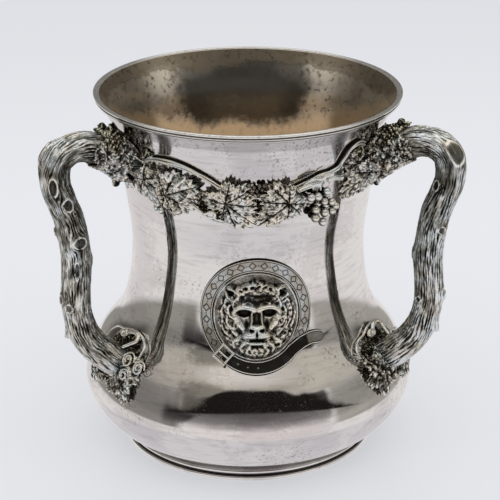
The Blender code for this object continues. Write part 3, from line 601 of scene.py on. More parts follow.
# Knots: share of the route, angle round the branch from its outer side, half
# width, length for its width, rise, and depth of the hollow in its face
BRANCH_KNOTS = (
    (0.264, -36.0, 0.0036, 1.15, 0.0024, 0.0004),
    (0.322, 56.0, 0.0022, 1.90, 0.0011, 0.0010),
    (0.385, 88.0, 0.0025, 1.45, 0.0015, 0.0007),
    (0.421, 100.0, 0.0010, 1.30, 0.0006, 0.0006),
    (0.488, -36.0, 0.0018, 1.20, 0.0015, 0.0009),
    (0.513, 84.0, 0.0032, 1.00, 0.0024, 0.0006),
    (0.604, 66.0, 0.0014, 3.60, 0.0004, 0.0011),
    (0.704, -4.0, 0.0020, 1.30, 0.0010, 0.0002),
    (0.721, 36.0, 0.0020, 1.00, 0.0014, 0.0011),
    (0.721, -110.0, 0.0016, 1.00, 0.0010, 0.0009),
    (0.590, 180.0, 0.0024, 1.20, 0.0012, 0.0007),
    (0.355, -120.0, 0.0020, 1.60, 0.0009, 0.0008),
)
# Crevices: share of the route, angle, half width, half length, depth
BRANCH_CREVICES = ((0.250, 88.0, 0.0016, 0.0110, 0.0010), (0.290, -78.0, 0.0014, 0.0090, 0.0009),
                   (0.660, 5.0, 0.0010, 0.0080, 0.0006), (0.440, 20.0, 0.0010, 0.0070, 0.0006),
                   (0.860, 60.0, 0.0010, 0.0090, 0.0007), (0.180, 40.0, 0.0010, 0.0060, 0.0007))
THORN = (0.812, -6.0, 0.0026, 0.0026)


def skin_radius(height):
    """Outer radius of the body at a height."""
    return np.interp(height, OUTLINE[:, 1], OUTLINE[:, 0])


def skin_length(height):
    """Distance along the outline from the foot up to a height."""
    return np.interp(height, OUTLINE[:, 1], OUTLINE_LENGTHS)


def on_skin(angle, length, lift):
    """Points that stand off the body by lift, at angles in radians."""
    radius, height = (np.interp(length, OUTLINE_LENGTHS, OUTLINE[:, k]) for k in (0, 1))
    outward, upward = (np.interp(length, OUTLINE_LENGTHS, SLOPES[:, k]) for k in (0, 1))
    steepness = np.hypot(outward, upward)
    radius = radius + lift * upward / steepness
    height = height - lift * outward / steepness
    return np.stack([radius * np.cos(angle), radius * np.sin(angle), height], axis=-1)


def handle_route():
    """Centre line of a handle as (radius, height) points, upper root to lower root."""
    grip = max(BELLY_RADIUS, RIM_RADIUS) + GRIP_STANDOFF
    arch = (grip + ARCH_OVERHANG, CUP_HEIGHT - ARCH_BELOW_RIM)
    upper_height = arch[1] - ROOT_BELOW_ARCH
    lower_height = BELLY_HEIGHT + FOOT_ABOVE_BELLY
    upper = (float(skin_radius(upper_height)), upper_height)
    lower = (float(skin_radius(lower_height)), lower_height)
    elbow = (arch[0], upper[1] - HANDLE_RADIUS * 0.85)
    bend = (grip, upper[1] + (lower[1] - upper[1]) * 0.38)
    knee = (grip, upper[1] + (lower[1] - upper[1]) * 0.71)
    knots = (upper, between(upper, arch, 0.55, 0.39), between(upper, arch, 0.97, 0.62),
             between(upper, arch, 0.95, 0.80), between(upper, arch, 0.50, 0.95), elbow,
             between(elbow, bend, 0.28, 0.30), between(elbow, bend, 0.58, 0.72), bend, knee,
             between(knee, lower, 0.29, 0.11), between(knee, lower, 0.80, 0.66), lower)
    return smooth_curve(knots, 24)


ROUTE = handle_route()
ROUTE_LENGTHS = lengths_along(ROUTE)
ROUTE_LENGTH = ROUTE_LENGTHS[-1]
ROUTE_SLOPES = np.gradient(ROUTE, ROUTE_LENGTHS, axis=0)
UPPER_ROOT, LOWER_ROOT = ROUTE[0][1], ROUTE[-1][1]


def branch_radius(length):
    """Plain radius of the branch: it swells into both of its roots."""
    to_root = np.minimum(length, ROUTE_LENGTH - length) / (2.5 * HANDLE_ROOT_RADIUS)
    return HANDLE_RADIUS + (HANDLE_ROOT_RADIUS - HANDLE_RADIUS) * np.exp(-to_root**2)


def on_branch(length, side, radius):
    """Points at an angle round the branch, for a handle that reaches out along +X."""
    centre = [np.interp(length, ROUTE_LENGTHS, ROUTE[:, k]) for k in (0, 1)]
    slope = [np.interp(length, ROUTE_LENGTHS, ROUTE_SLOPES[:, k]) for k in (0, 1)]
    scale = radius * np.cos(side) / np.hypot(*slope)
    return np.stack([centre[0] - slope[1] * scale, radius * np.sin(side),
                     centre[1] + slope[0] * scale], axis=-1)


def root_ring(height, side, radius):
    """Points of a handle's end ring, which lies along the skin of the body."""
    length = skin_length(height) + radius * np.cos(side)
    return on_skin(radius * np.sin(side) / skin_radius(height), length, SKIN_GAP)


def mottle(points, size, octaves=3):
    """Noise between about -1 and 1 at each point, with marks of this size."""
    scaled = np.asarray(points).reshape(-1, 3) / size
    values = [noise.fractal(point, 0.9, 2.0, octaves) for point in scaled.tolist()]
    return np.array(values).reshape(np.shape(points)[:-1])


def bell(offset, width):
    """1 where the offset is 0, falling off smoothly over the width."""
    return np.exp(-(offset / width)**2)


def unit(value):
    """The value held between 0 and 1."""
    return np.clip(value, 0, 1)


def grid_faces(rows, columns):
    """Quads between neighbouring points of a grid whose rows are closed rings."""
    start = np.arange(rows - 1)[:, None] * columns
    here = np.arange(columns)
    after = (here + 1) % columns
    corners = (start + here, start + after, start + columns + after, start + columns + here)
    return np.stack(corners, axis=-1).reshape(-1, 4).tolist()


def joined_mesh(name, parts, crease=50.0):
    """One mesh of several (points, faces, relief) parts; relief is 0 in grooves, 1 on ridges."""
    points, faces, relief, first = [], [], [], 0
    for spots, corners, heights in parts:
        spots = np.asarray(spots).reshape(-1, 3)
        points.append(spots)
        faces += [[corner + first for corner in face] for face in corners]
        relief.append(np.broadcast_to(np.ravel(heights), len(spots)))
        first += len(spots)
    mesh = bpy.data.meshes.new(name)
    mesh.from_pydata(np.concatenate(points).tolist(), [], faces)
    bm = bmesh.new()
    bm.from_mesh(mesh)
    finish_mesh(bm, mesh, crease)
    mesh.attributes.new("relief", "FLOAT", "POINT").data.foreach_set("value", np.concatenate(relief))
    return mesh


def add_copies(angles, *kinds):
    """Cast pieces at each angle; a kind is a name, a mesh, a metal and the node it stands for."""
    for where, angle in angles.items():
        for name, mesh, material, *nodes in kinds:
            add_piece(f"{name}_{where}", mesh, material, "oxidised_silver",
                      *(f"{node}_{where}" for node in nodes), turn=angle)


def knot_offset(length, side, share, angle, stretch=1.0):
    """Distances along and round the branch from a knot, and the reach in its own ring shape."""
    along = (length - share * ROUTE_LENGTH) / stretch
    around = np.remainder(side - math.radians(angle) + math.pi, math.tau) - math.pi
    around = around * HANDLE_RADIUS
    return along, around, np.hypot(along, around)


def bark(length, side):
    """Height of the bark over the plain branch, and the relief of its grain."""
    turn = np.stack([np.cos(side) * 0.9, np.sin(side) * 0.9, length * 38.0], axis=-1)
    flow = side + 0.22 * mottle(turn + 7.0, 1.0, 3)
    swell = LUMPS * (mottle(turn, 0.8, 2) - 0.4)
    inside, rings = np.zeros(flow.shape), np.zeros(flow.shape)
    for share, angle, ring, stretch, rise_height, hollow in BRANCH_KNOTS:
        _, around, reach = knot_offset(length, side, share, angle, stretch)
        beyond = np.maximum(reach, ring)
        fade = bell(beyond - ring, 2.6 * ring)
        flow = flow - fade * around * ring**2 / beyond**2 / HANDLE_RADIUS
        swell += rise_height * bell(np.maximum(reach - 0.5 * ring, 0), 1.15 * ring)
        face = 1 / (1 + np.exp(np.clip((reach - 0.80 * ring) / (0.06 * ring), -40, 40)))
        lip = bell(reach - 1.02 * ring, min(0.20 * ring, KNOT_LIP_WIDTH))
        swell += 0.28 * hollow * lip - hollow * face
        inside = np.maximum(inside, face)
        rings = np.maximum(rings, lip)
    for share, angle, width, long, deep in BRANCH_CREVICES:
        along, around, _ = knot_offset(length, side, share, angle)
        bent = around + 0.0012 * np.sin(along / long * 2.5 + share * 40)
        cut = np.exp(-((along / long)**4 + (bent / width)**2))
        swell -= deep * cut
        inside = np.maximum(inside, 0.9 * cut)
    share, angle, width, high = THORN
    along, around, _ = knot_offset(length, side, share, angle)
    point = bell(around, width) * unit(1 + along / 0.009)**2.2
    swell += high * point * unit(1 - along / 0.0011)
    lines = 0.5 + 0.5 * np.cos(flow * BARK_LINES + 1.7 * mottle(turn * (1, 1, 0.8) + 20.0, 0.16, 2))
    fine = 0.5 + 0.5 * np.cos(flow * BARK_LINES * 2.35 + 2.0)
    broken = np.clip(0.55 + 1.2 * mottle(turn * (2.2, 2.2, 1.5) + 40.0, 0.5, 2), 0.12, 1.25)
    grain = broken * (1 - lines)**1.6 + 0.22 * (1 - fine)
    pits = mottle(turn * 9.0, 0.9, 2)
    blotch = mottle(turn * 1.6 + 60.0, 0.5, 3)
    height = swell - BARK_DEPTH * (1 - inside) * (1 - 0.6 * rings) * grain + 0.00005 * pits
    relief = unit(0.84 - 0.74 * grain + 0.16 * pits + 0.22 * blotch) * (1 - inside)
    relief = relief + (0.36 + 0.20 * pits) * inside
    # Painted shade: the bark is darker towards its side that faces the body
    relief = relief + 0.50 * rings * (1 - inside) + 0.10 - 0.24 * (1 - np.cos(side)) / 2
    relief = relief + 0.36 * (length / ROUTE_LENGTH - 0.50)
    return height, unit(relief)


def branch_skin(lengths, sides, inward):
    """Rings of points along the branch at a depth under its surface, roots included."""
    length, side = np.meshgrid(lengths, sides, indexing="ij")
    height, relief = (0.0, BORE_RELIEF) if inward else bark(length, side)
    points = on_branch(length, side, branch_radius(length) - inward + height)
    for root, turned, reach, edge in ((UPPER_ROOT, side, length, 1.1 * HANDLE_ROOT_RADIUS),
                                      (LOWER_ROOT, math.pi - side, ROUTE_LENGTH - length,
                                       0.8 * HANDLE_ROOT_RADIUS)):
        base = root_ring(root, turned, HANDLE_ROOT_RADIUS - inward)
        near = ROUTE_LENGTH - edge if root == LOWER_ROOT else edge
        face = on_branch(np.full_like(length, near), side,
                         branch_radius(near) - inward + height)
        share = unit(reach / edge)[..., None]
        points = np.where(share < 1, base + (face - base) * share, points)
    over = np.maximum(points[..., 0] - BRANCH_REACH,
                      0.866 * points[..., 0] + 0.5 * np.abs(points[..., 1]) - BRANCH_SIDE_REACH)
    points[..., 0] -= BARK_GIVE * np.log1p(np.exp(np.clip(over / BARK_GIVE, -40, 40)))
    # Painted highlight: brighter up on the arch
    relief = unit(relief - 0.04 + 0.26 * unit((points[..., 2] - ARCH_HIGHLIGHT_FROM) / ARCH_HIGHLIGHT_OVER))
    return points, np.broadcast_to(relief, length.shape)


def make_branch():
    """Outer bark and inner bore, closed at their ends by rings that lie on the body."""
    sides = np.arange(BRANCH_SIDES) * math.tau / BRANCH_SIDES
    lengths = np.linspace(0.0, ROUTE_LENGTH, BRANCH_RINGS)
    outer, relief = branch_skin(lengths, sides, 0.0)
    bore, _ = branch_skin(lengths[::BORE_STEP], sides, HANDLE_WALL)
    rings = np.concatenate([outer, bore[::-1]])
    faces = grid_faces(len(rings), BRANCH_SIDES)
    last = (len(rings) - 1) * BRANCH_SIDES
    faces += [[last + k, last + after, after, k]
              for k, after in ((k, (k + 1) % BRANCH_SIDES) for k in range(BRANCH_SIDES))]
    heights = np.concatenate([relief, np.full(bore.shape[:2], BORE_RELIEF)])
    return joined_mesh("vine_branch", [(rings, faces, heights)])


def make_oxide():
    """Effect shared by the cast pieces: black oxide in the grooves, worn off the ridges, and the
    painted shade and highlights that some pieces' relief carries.
    """
    tree, given, result = new_group(
        "oxide",
        {"Ridge": (0.66, 0.65, 0.60), "Slope": (0.24, 0.245, 0.225),
         "Groove": (0.022, 0.020, 0.017), "Wear": 0.5},
        ("Color", "Roughness", "Metallic", "Height"))
    place = read(tree, "TexCoord", "Object")
    relief = read(tree, "Attribute", "Fac", attribute_name="relief")
    wide = clouds(place, 90.0, 4.0, 0.6)
    fine = clouds(place, 1500.0, 3.0, 0.6)
    worn = (fine - 0.5) * 0.22 + ((wide - 0.5) * 0.55 + relief) + (given["Wear"] - 0.5)
    bright = rise(worn, 0.42, 0.92)
    colour = mixed(rise(worn, 0.08, 0.48), given["Groove"], given["Slope"])
    colour = mixed(bright, colour, given["Ridge"])
    toned = mixed(rise(wide, 0.42, 0.62), (1.0, 0.95, 0.86), (0.93, 0.98, 1.0))
    colour = Signal(add_node(tree, "VectorMath", colour, toned, operation="MULTIPLY").outputs[0])
    connect(colour, result["Color"])
    connect(rise(worn, 0.1, 0.9) * -0.30 + 0.52, result["Roughness"])
    connect(bright * -0.22 + 1.0, result["Metallic"])
    connect(fine, result["Height"])
    return tree


OXIDE = make_oxide()
oxidised_branch = new_metal("oxidised_branch", OXIDE, 0.00006, Wear=0.39,
                            Ridge=(0.95, 0.96, 0.97), Slope=(0.19, 0.195, 0.18))
add_copies(HANDLE_ANGLES, ("vine_branch", make_branch(), oxidised_branch, "handle"))


# Stems: the garland in each bay hangs on a vine stem of three strands, cast with
# its cut twigs, that leaves one handle's root and joins the next.
BAY_ANGLES = {"front": 270.0, "right": 30.0, "left": 150.0}
STEM_RADIUS = 0.0012
STRAND_RADIUS = 0.00044
STRAND_SPACING = 0.00100
ROOT_GIRTH = float(skin_radius(UPPER_ROOT))

# Course of the stem across a bay, as angle from its middle and height
STEM_RUN = ((-52.0, 0.1800), (-44.0, 0.1840), (-37.9, 0.1846), (-30.0, 0.1836), (-24.0, 0.1808),
            (-19.0, 0.1774), (-13.8, 0.1730), (-4.0, 0.1697), (8.0, 0.1692), (17.3, 0.1722),
            (23.0, 0.1748), (28.1, 0.1774), (33.0, 0.1780), (36.5, 0.1796), (38.6, 0.1840),
            (41.0, 0.1892), (45.0, 0.1915), (50.0, 0.1890))
# Cut twigs: three (angle, height) points and a radius
TWIGS = (
    ((16.5, 0.1722), (21.0, 0.1738), (27.2, 0.1742), 0.0013),
    ((19.0, 0.1748), (23.0, 0.1768), (27.6, 0.1766), 0.0009),
    ((29.6, 0.1752), (33.5, 0.1756), (38.0, 0.1744), 0.0012),
    ((24.5, 0.1706), (27.0, 0.1728), (29.0, 0.1748), 0.0008),
)


def capped_faces(rows, columns):
    """Quads of a grid whose rows are closed rings, and a face over each end ring."""
    last = (rows - 1) * columns
    ends = [list(range(columns))[::-1], list(range(last, last + columns))]
    return grid_faces(rows, columns) + ends


def skin_place(across, height, turn=0.0):
    """Function from (right, up, lift) round a spot on the body to points in space."""
    middle, girth = skin_length(height), skin_radius(height)
    cosine, sine = math.cos(math.radians(turn)), math.sin(math.radians(turn))

    def place(right, up, lift):
        along = right * cosine - up * sine
        length = middle + right * sine + up * cosine
        local = np.interp(length, OUTLINE_LENGTHS, OUTLINE[:, 0])
        return on_skin(across / girth + along / local, length, lift)

    return place


def wire_part(points, radii, sides=12, ridges=0, twist=0.0, depth=0.25, shine=0.75):
    """Round or ridged wire through the points, its ends rounded off."""
    points = np.asarray(points, dtype=float)
    radii = np.broadcast_to(radii, len(points)).astype(float)
    lengths = lengths_along(points)
    ahead = np.gradient(points, axis=0)
    ahead /= np.linalg.norm(ahead, axis=1)[:, None]
    normal = points[0] * (1, 1, 0)
    normals = []
    for forward in ahead:
        normal = normal - forward * np.dot(normal, forward)
        normal = normal / np.linalg.norm(normal)
        normals.append(normal)
    normals = np.array(normals)
    across = np.cross(ahead, normals)
    ends = np.minimum(lengths, lengths[-1] - lengths) / np.maximum(radii, 1e-6)
    closing = np.sqrt(np.clip(1 - (1 - unit(ends))**2, 0.0004, 1))
    turn = np.arange(sides) * math.tau / sides
    wave = np.cos(ridges * turn + twist * lengths[:, None]) if ridges else 0.0
    reach = (radii * closing)[:, None] * (1 + depth * wave)
    spots = (points[:, None] + reach[..., None] * (np.cos(turn)[:, None] * normals[:, None]
                                                   + np.sin(turn)[:, None] * across[:, None]))
    relief = unit(shine + 0.45 * wave + 0.30 * np.cos(turn))
    return spots, capped_faces(len(points), sides), np.broadcast_to(relief, (len(points), sides))


def skin_line(knots, lift, steps=12):
    """Smooth line over the body through (degrees, height, lift) knots, or at one lift."""
    full = [(math.radians(knot[0]) * ROOT_GIRTH, knot[1], knot[2] if len(knot) > 2 else lift)
            for knot in knots]
    across, up, off = smooth_curve(full, steps).T
    return on_skin(across / ROOT_GIRTH, skin_length(up), off)


def make_stem():
    """Three thin strands side by side over a dark core that paints the shade between them, and cut
    twigs that leave them.
    """
    lift = SKIN_GAP + STEM_RADIUS
    parts = []
    for k, aside in enumerate((-STRAND_SPACING, 0.0, STRAND_SPACING)):
        wander = [(angle + 80.0 * aside * math.sin(0.5 * n), up + aside
                   + 0.0003 * math.sin(1.7 * n + 2.1 * k)) for n, (angle, up) in enumerate(STEM_RUN)]
        line = skin_line(wander, lift + (0.0004 if k == 1 else 0.0))
        thick = STRAND_RADIUS * (1.0 + 0.14 * np.sin(np.arange(len(line)) * 0.37 + 2.0 * k))
        parts.append(wire_part(line, thick, 14, 3, 160.0, 0.08, 1.0))
    # A dull core wire under the strands paints the shade between and under them
    shade_core = skin_line(STEM_RUN, SKIN_GAP + 0.0005)
    parts.append(wire_part(shade_core, 0.0012, 12, 0, 0.0, 0.0, 0.0))
    for *knots, radius in TWIGS:
        spots = skin_line(knots, SKIN_GAP + STEM_RADIUS * 2 + radius, 14)
        swollen = radius * (1 + 0.35 * bell(np.arange(len(spots)) - len(spots) + 2, 2.5))
        parts.append(wire_part(spots, swollen, 16, 5, 120.0, 0.14, 0.7))
    return joined_mesh("vine_stem", parts)


oxidised_leaf = new_metal("oxidised_leaf", OXIDE, 0.00005, Wear=0.54, Ridge=(0.97, 0.96, 0.93),
                          Slope=(0.30, 0.29, 0.265))
add_copies(BAY_ANGLES, ("garland_stem", make_stem(), oxidised_leaf, "vine_stem"))


# Leaves: vine leaves cast thin and chased with veins and stipple, lapped along the
# stem and soldered to it, so their toothed edges stand clear of the body.
MM = 0.001
LEAF_THICKNESS = 0.0008
OVER_STEM = SKIN_GAP + 2 * STEM_RADIUS + JOINT_GAP
LOBE_WIDTH = 46.0
LOBE_FALL = 0.50
LEAF_TEETH = 11.0
TOOTH = 0.15
VEIN_SPACING = 0.0025
VEIN_WIDTH = 0.00036

# Each leaf: its stalk's angle and height, the tip's turn from straight down, its lobes
# as angles from the tip and reaches in mm, and a number that varies its form
GARLAND_LEAVES = (
    ("leaf_1", -38.7, 0.1654, 115.0,
     ((0, 21.5), (38, 17.0), (80, 14.0), (-44, 17.0), (-94, 12.0), (-138, 9.0)), 1.0),
    ("leaf_2", -12.0, 0.1657, 49.0,
     ((0, 20.0), (36, 15.5), (72, 17.0), (120, 13.0), (-30, 13.5), (-62, 8.0), (-150, 13.5)), 2.0),
    ("leaf_3", 13.6, 0.1652, -51.0,
     ((0, 18.5), (-47, 14.5), (-87, 15.0), (-128, 11.4), (50, 11.0), (92, 10.0), (131, 12.0)), 3.0),
)


def leaf_reach(angles, lobes):
    """Distance in mm from the stalk to the leaf's edge: a toothed lobe round each vein."""
    reach = np.full(angles.shape, 0.12 * lobes[0][1])
    for vein, long in lobes:
        away = np.abs(np.remainder(angles - vein + 180.0, 360.0) - 180.0)
        reach = np.maximum(reach, long * (1 - LOBE_FALL * (away / LOBE_WIDTH)**1.3))
    tooth = 1 - 2 * np.abs(np.remainder(angles / LEAF_TEETH + 0.5, 1.0) - 0.5)
    return reach * (1 + TOOTH * (tooth - 0.6))


def leaf_parts(place, lobes, lift, seed, curl=0.10, tilt=0.0, veined=1.0, crumple=0.0,
               tone=0.60, spokes=240, rings=26):
    """Top and underside of one leaf round its stalk, and the walls of its edge."""
    size = lobes[0][1] * MM
    angles = np.arange(spokes) * 360.0 / spokes
    shares = np.concatenate([np.linspace(0.03, 0.97, rings - 1), [1.0]])
    share, angle = np.meshgrid(shares, angles, indexing="ij")
    reach = share * leaf_reach(angle, lobes) * MM
    turn = np.radians(angle)
    right, up = reach * np.sin(turn), -reach * np.cos(turn)
    out = reach / size
    gap = np.array([np.abs(np.remainder(angle - vein + 180.0, 360.0) - 180.0)
                    for vein, _ in lobes]).min(axis=0)
    along, off = reach * np.cos(np.radians(gap)), reach * np.sin(np.radians(gap))
    spot = np.stack([right, up, np.full_like(up, seed * 0.37)], axis=-1)
    stipple = mottle(spot, 0.0009, 2)
    crinkle = mottle(spot, 0.0026, 2)
    wide = mottle(spot, 0.0070, 2)
    edge_fade = unit((1 - share) / 0.10)
    row = (along - 0.85 * off) / VEIN_SPACING + 0.25 * wide
    apart = np.abs(np.remainder(row, 1.0) - 0.5) * 2
    puff = (1 - apart**2.4) * unit(off / 0.0009) * edge_fade
    main = bell(off, VEIN_WIDTH * (1.15 - 0.5 * share))
    side_vein = bell(1 - apart, 0.16) * unit(off / 0.0006)
    panel = 1 - bell(off, 0.0028)
    form = 0.0011 * panel * np.sin(math.pi * unit(share))
    form += size * curl * out**2 * np.sin(2 * turn + seed) * 0.5
    form += size * 0.07 * share**2.5 * np.sin(5 * turn + 2.3 * seed)
    form += 0.0006 * wide * share - tilt * up - 0.0016 * share**3
    form += crumple * mottle(spot + seed, 0.0042, 2) * unit(share * 3)
    chased = (veined * (-0.00034 * main - 0.00016 * side_vein)
              + 0.00042 * puff + 0.00030 * stipple + 0.00050 * crinkle
              + 0.00022 * unit((share - 0.93) / 0.05))
    form = np.maximum(lift + LEAF_THICKNESS + form, 0.0009)
    top = place(right, up, form + chased)
    under = place(right, up, form - 0.0006 - 0.0002 * edge_fade)
    relief = veined * (-0.85 * main - 0.34 * side_vein)
    relief = unit(tone + relief + 0.18 * puff + 0.70 * stipple + 0.80 * crinkle
                  + 0.40 * (share > 0.94))
    sheet = np.concatenate([top, under[::-1]])
    heights = np.concatenate([relief, np.full(share.shape, 0.62)])
    return sheet, capped_faces(len(sheet), spokes), heights


def leaf_on_skin(degrees, height, turn, lobes, lift, seed, **form):
    """Leaf whose stalk is at an angle and height on the body."""
    place = skin_place(math.radians(degrees) * skin_radius(height), height, turn)
    return leaf_parts(place, lobes, lift, seed, **form)


for name, degrees, height, turn, lobes, seed in GARLAND_LEAVES:
    lift = OVER_STEM + 0.0003 * seed
    leaf = joined_mesh(name, [leaf_on_skin(degrees, height, turn, lobes, lift, seed)], 60.0)
    add_copies(BAY_ANGLES, ("vine_" + name, leaf, oxidised_leaf, name))


# Grapes: a bunch cast as one piece beside the last leaf, its tops burnished
# bright and the seams between the grapes left black.
GRAPE_RADIUS = 0.00235
GRAPE_RINGS = 22
GRAPE_SIDES = 28

# Grapes as angle and height: the bunch's upper and lower layer, the few that peep out
# past the first leaf, and the small dull ones between the other two leaves
TOP_GRAPES = ((29.8, 0.1692), (25.7, 0.1670), (29.0, 0.1633), (22.6, 0.1672), (32.6, 0.1622),
              (25.2, 0.1594), (29.6, 0.1568), (33.2, 0.1567), (25.4, 0.1546), (29.1, 0.1515),
              (34.8, 0.1592))
LOW_GRAPES = ((27.5, 0.1650), (31.2, 0.1660), (27.2, 0.1614), (31.2, 0.1596), (27.3, 0.1572),
              (31.2, 0.1545), (27.0, 0.1530), (23.4, 0.1640), (33.6, 0.1600))
STRAY_GRAPES = ((-43.6, 0.1586), (-42.2, 0.1552), (-45.0, 0.1560), (-33.0, 0.1572))
SMALL_GRAPES = ((-0.6, 0.1742), (1.6, 0.1752), (0.6, 0.1722), (2.6, 0.1730), (-1.4, 0.1712),
                (1.2, 0.1700), (3.4, 0.1752), (-2.6, 0.1755))
# Each group with its height over the body, its size and how bright its tops are
GRAPE_GROUPS = ((TOP_GRAPES, 0.0050, 1.0, 1.05), (LOW_GRAPES, 0.0024, 0.95, 1.05),
                (STRAY_GRAPES, 0.0030, 0.85, 1.05), (SMALL_GRAPES, 0.0020, 0.56, 0.50))


def grape_part(centre, radius, shine=1.05):
    """One grape: a ball with the small dimple of its bud on the outer side."""
    outward = centre * (1, 1, 0.25)
    outward = outward / np.linalg.norm(outward)
    side = np.cross(outward, (0, 0, 1.0))
    side = side / np.linalg.norm(side)
    upward = np.cross(side, outward)
    tilt = np.radians(np.linspace(1.0, 179.0, GRAPE_RINGS))[:, None]
    turn = np.arange(GRAPE_SIDES) * math.tau / GRAPE_SIDES
    reach = radius * (1 - 0.10 * bell(tilt, 0.16) + 0.012 * bell(tilt - 0.3, 0.1))
    spots = (centre + (reach * np.cos(tilt))[..., None] * outward
             + (reach * np.sin(tilt) * np.cos(turn))[..., None] * side
             + (reach * np.sin(tilt) * np.sin(turn))[..., None] * upward)
    relief = unit(shine - 0.75 * (tilt / 1.35)**2 - 0.8 * bell(tilt, 0.12))
    faces = capped_faces(GRAPE_RINGS, GRAPE_SIDES)
    return spots, faces, np.broadcast_to(relief, (GRAPE_RINGS, GRAPE_SIDES))


def make_grapes():
    """All the grapes of one garland, each a little larger or smaller than the next."""
    parts = []
    for grapes, lift, size, shine in GRAPE_GROUPS:
        for k, (degrees, height) in enumerate(grapes):
            radius = GRAPE_RADIUS * size * (0.96 + 0.06 * math.sin(2.4 * k))
            centre = on_skin(math.radians(degrees), skin_length(height), lift)
            parts.append(grape_part(centre, radius, shine))
    return joined_mesh("grapes", parts)


add_copies(BAY_ANGLES, ("grapes", make_grapes(), oxidised_leaf, "grape_bunch"))


# Tendrils: fine wires drawn, bent into loops and hooks and soldered below and
# between the leaves.
TENDRIL_RADIUS = 0.0006


def make_tendrils():
    """The long loop below the middle leaf with its hook, and the wires on the stem."""
    low = SKIN_GAP + TENDRIL_RADIUS
    high = OVER_STEM + TENDRIL_RADIUS
    lines = (
        (((-27.5, 0.1630), (-25.0, 0.1613), (-21.4, 0.1581), (-18.3, 0.1555), (-14.3, 0.1539),
          (-10.7, 0.1542), (-7.0, 0.1560)), low + 0.0024, 1.3),
        (((-21.6, 0.1583), (-19.8, 0.1592), (-18.1, 0.1602), (-16.4, 0.1593), (-16.6, 0.1577),
          (-18.2, 0.1569), (-19.3, 0.1577)), low + 0.0034, 1.3),
        (((27.4, 0.1695), (27.2, 0.1735), (28.4, 0.1778), (31.0, 0.1792)), high, 0.9),
        (((-58.0, 0.1902), (-54.5, 0.1862), (-51.5, 0.1830), (-48.0, 0.1822)), high, 0.9),
    )
    parts = []
    for knots, lift, thick in lines:
        spots = skin_line(knots, lift, 14)
        taper = thick * np.linspace(1.05, 0.75, len(spots))
        parts.append(wire_part(spots, TENDRIL_RADIUS * taper, 12, shine=0.95))
    return joined_mesh("tendrils", parts)


add_copies(BAY_ANGLES, ("tendrils", make_tendrils(), oxidised_leaf, "tendril"))


# Joints: leaves, buds and curls are cast and soldered over both roots of every
# handle, where they hide its seam with the body, and small dark leaves fill the
# garland's gaps as painted shade.

# Each leaf of a joint: stalk's angle and height, the tip's turn, lobes, the tip's droop
JOINT_LEAVES = (
    ("upper_leaf_a", -4.5, 0.1712, -62.0,
     ((0, 21.0), (-40, 14.0), (40, 13.0), (-85, 12.0), (85, 11.0), (-135, 8.0)), 0.16),
    ("upper_leaf_b", 11.0, 0.1722, 16.0,
     ((0, 18.0), (46, 13.0), (-46, 13.0), (95, 11.0), (-95, 12.0), (150, 8.0)), 0.06),
    ("lower_leaf_a", -7.5, 0.0588, -12.0,
     ((0, 16.0), (48, 13.5), (-50, 14.5), (98, 12.5), (-102, 13.0), (150, 9.0), (-150, 9.0)), 0.10),
    ("lower_leaf_b", 5.5, 0.0592, 30.0,
     ((0, 18.5), (46, 14.0), (-48, 14.5), (92, 14.5), (-96, 15.0), (142, 9.0), (-145, 9.0)), 0.10),
)
# Small crumpled leaves on the upper root, among the buds and under them: length along
# the branch in mm, angle round it, turn of the tip, size in mm, and how far the tip lifts
BUD_LEAVES = ((17, 40, 80, 7.5, 0.0), (13, 8, -60, 7.5, 0.0), (22, 2, 20, 6.5, 0.0),
              (16, -44, -80, 7.5, 0.0))
ROOT_LEAVES = ((22, 88, 40, 8.5, 0.0), (11, 78, 150, 9.5, 0.0), (22, -90, -35, 8.5, 0.0),
               (11, -80, -150, 9.5, 0.0), (12, 134, 60, 11.0, 0.0), (12, -134, -60, 11.0, 0.0),
               (17, 178, 0, 9.0, 0.0), (15, 158, 0, 11.0, 0.50), (15, -158, 0, 11.0, 0.50))
# Small leaves that lie on the body, as angle, height, turn and size in mm: among the
# buds, beside the upper root, behind the lower root's wires, and behind the garland,
# where they are dark to paint the shade between its leaves
BUD_SKIN_LEAVES = ((12.0, 0.1842, 120.0, 5.5), (-12.0, 0.1842, -120.0, 5.5))
ROOT_SKIN_LEAVES = ((-12.0, 0.1782, -100.0, 10.0), (16.0, 0.1700, 60.0, 9.0))
GROUND_LEAVES = ((1.5, 0.0700, 180.0, 9.4), (8.0, 0.0655, 100.0, 7.5), (-6.5, 0.0665, -110.0, 7.5))
BACK_SHADE_LEAVES = ((-20.8, 0.1612, -100.0, 5.6), (-14.6, 0.1588, 20.0, 5.4), (0.9, 0.1622, 0.0, 5.4),
               (-21.8, 0.1664, -60.0, 4.2))
# Lobes of a small round leaf: angle from the tip, and reach as a share of its size
ROUND_LEAF = ((0, 1.0), (45, 0.92), (-45, 0.92), (90, 0.86), (-90, 0.86), (135, 0.80), (-135, 0.80),
              (180, 0.76))
BUD_COUNT = 60
BUD_RADIUS = 0.00105
BUD_LENGTH = 0.0062
BUD_WIDTH = 0.0085
BUD_HEIGHT = 0.0030
# The bud on a twig: length along the branch in mm, angle round it, and height in mm
TWIG_BUD = (22.5, -8.0, 5.8)


def scaled_lobes(size):
    """Lobes of a small round leaf of this size in mm."""
    return tuple((vein, long * size) for vein, long in ROUND_LEAF)


def branch_place(length, side, turn):
    """Function from (right, up, lift) round a spot on a branch to points in space."""
    cosine, sine = math.cos(math.radians(turn)), math.sin(math.radians(turn))

    def place(right, up, lift):
        around = right * cosine - up * sine
        at = np.maximum(length + right * sine + up * cosine, 0.0015)
        girth = branch_radius(at)
        return on_branch(at, math.radians(side) + around / girth, girth + lift)

    return place


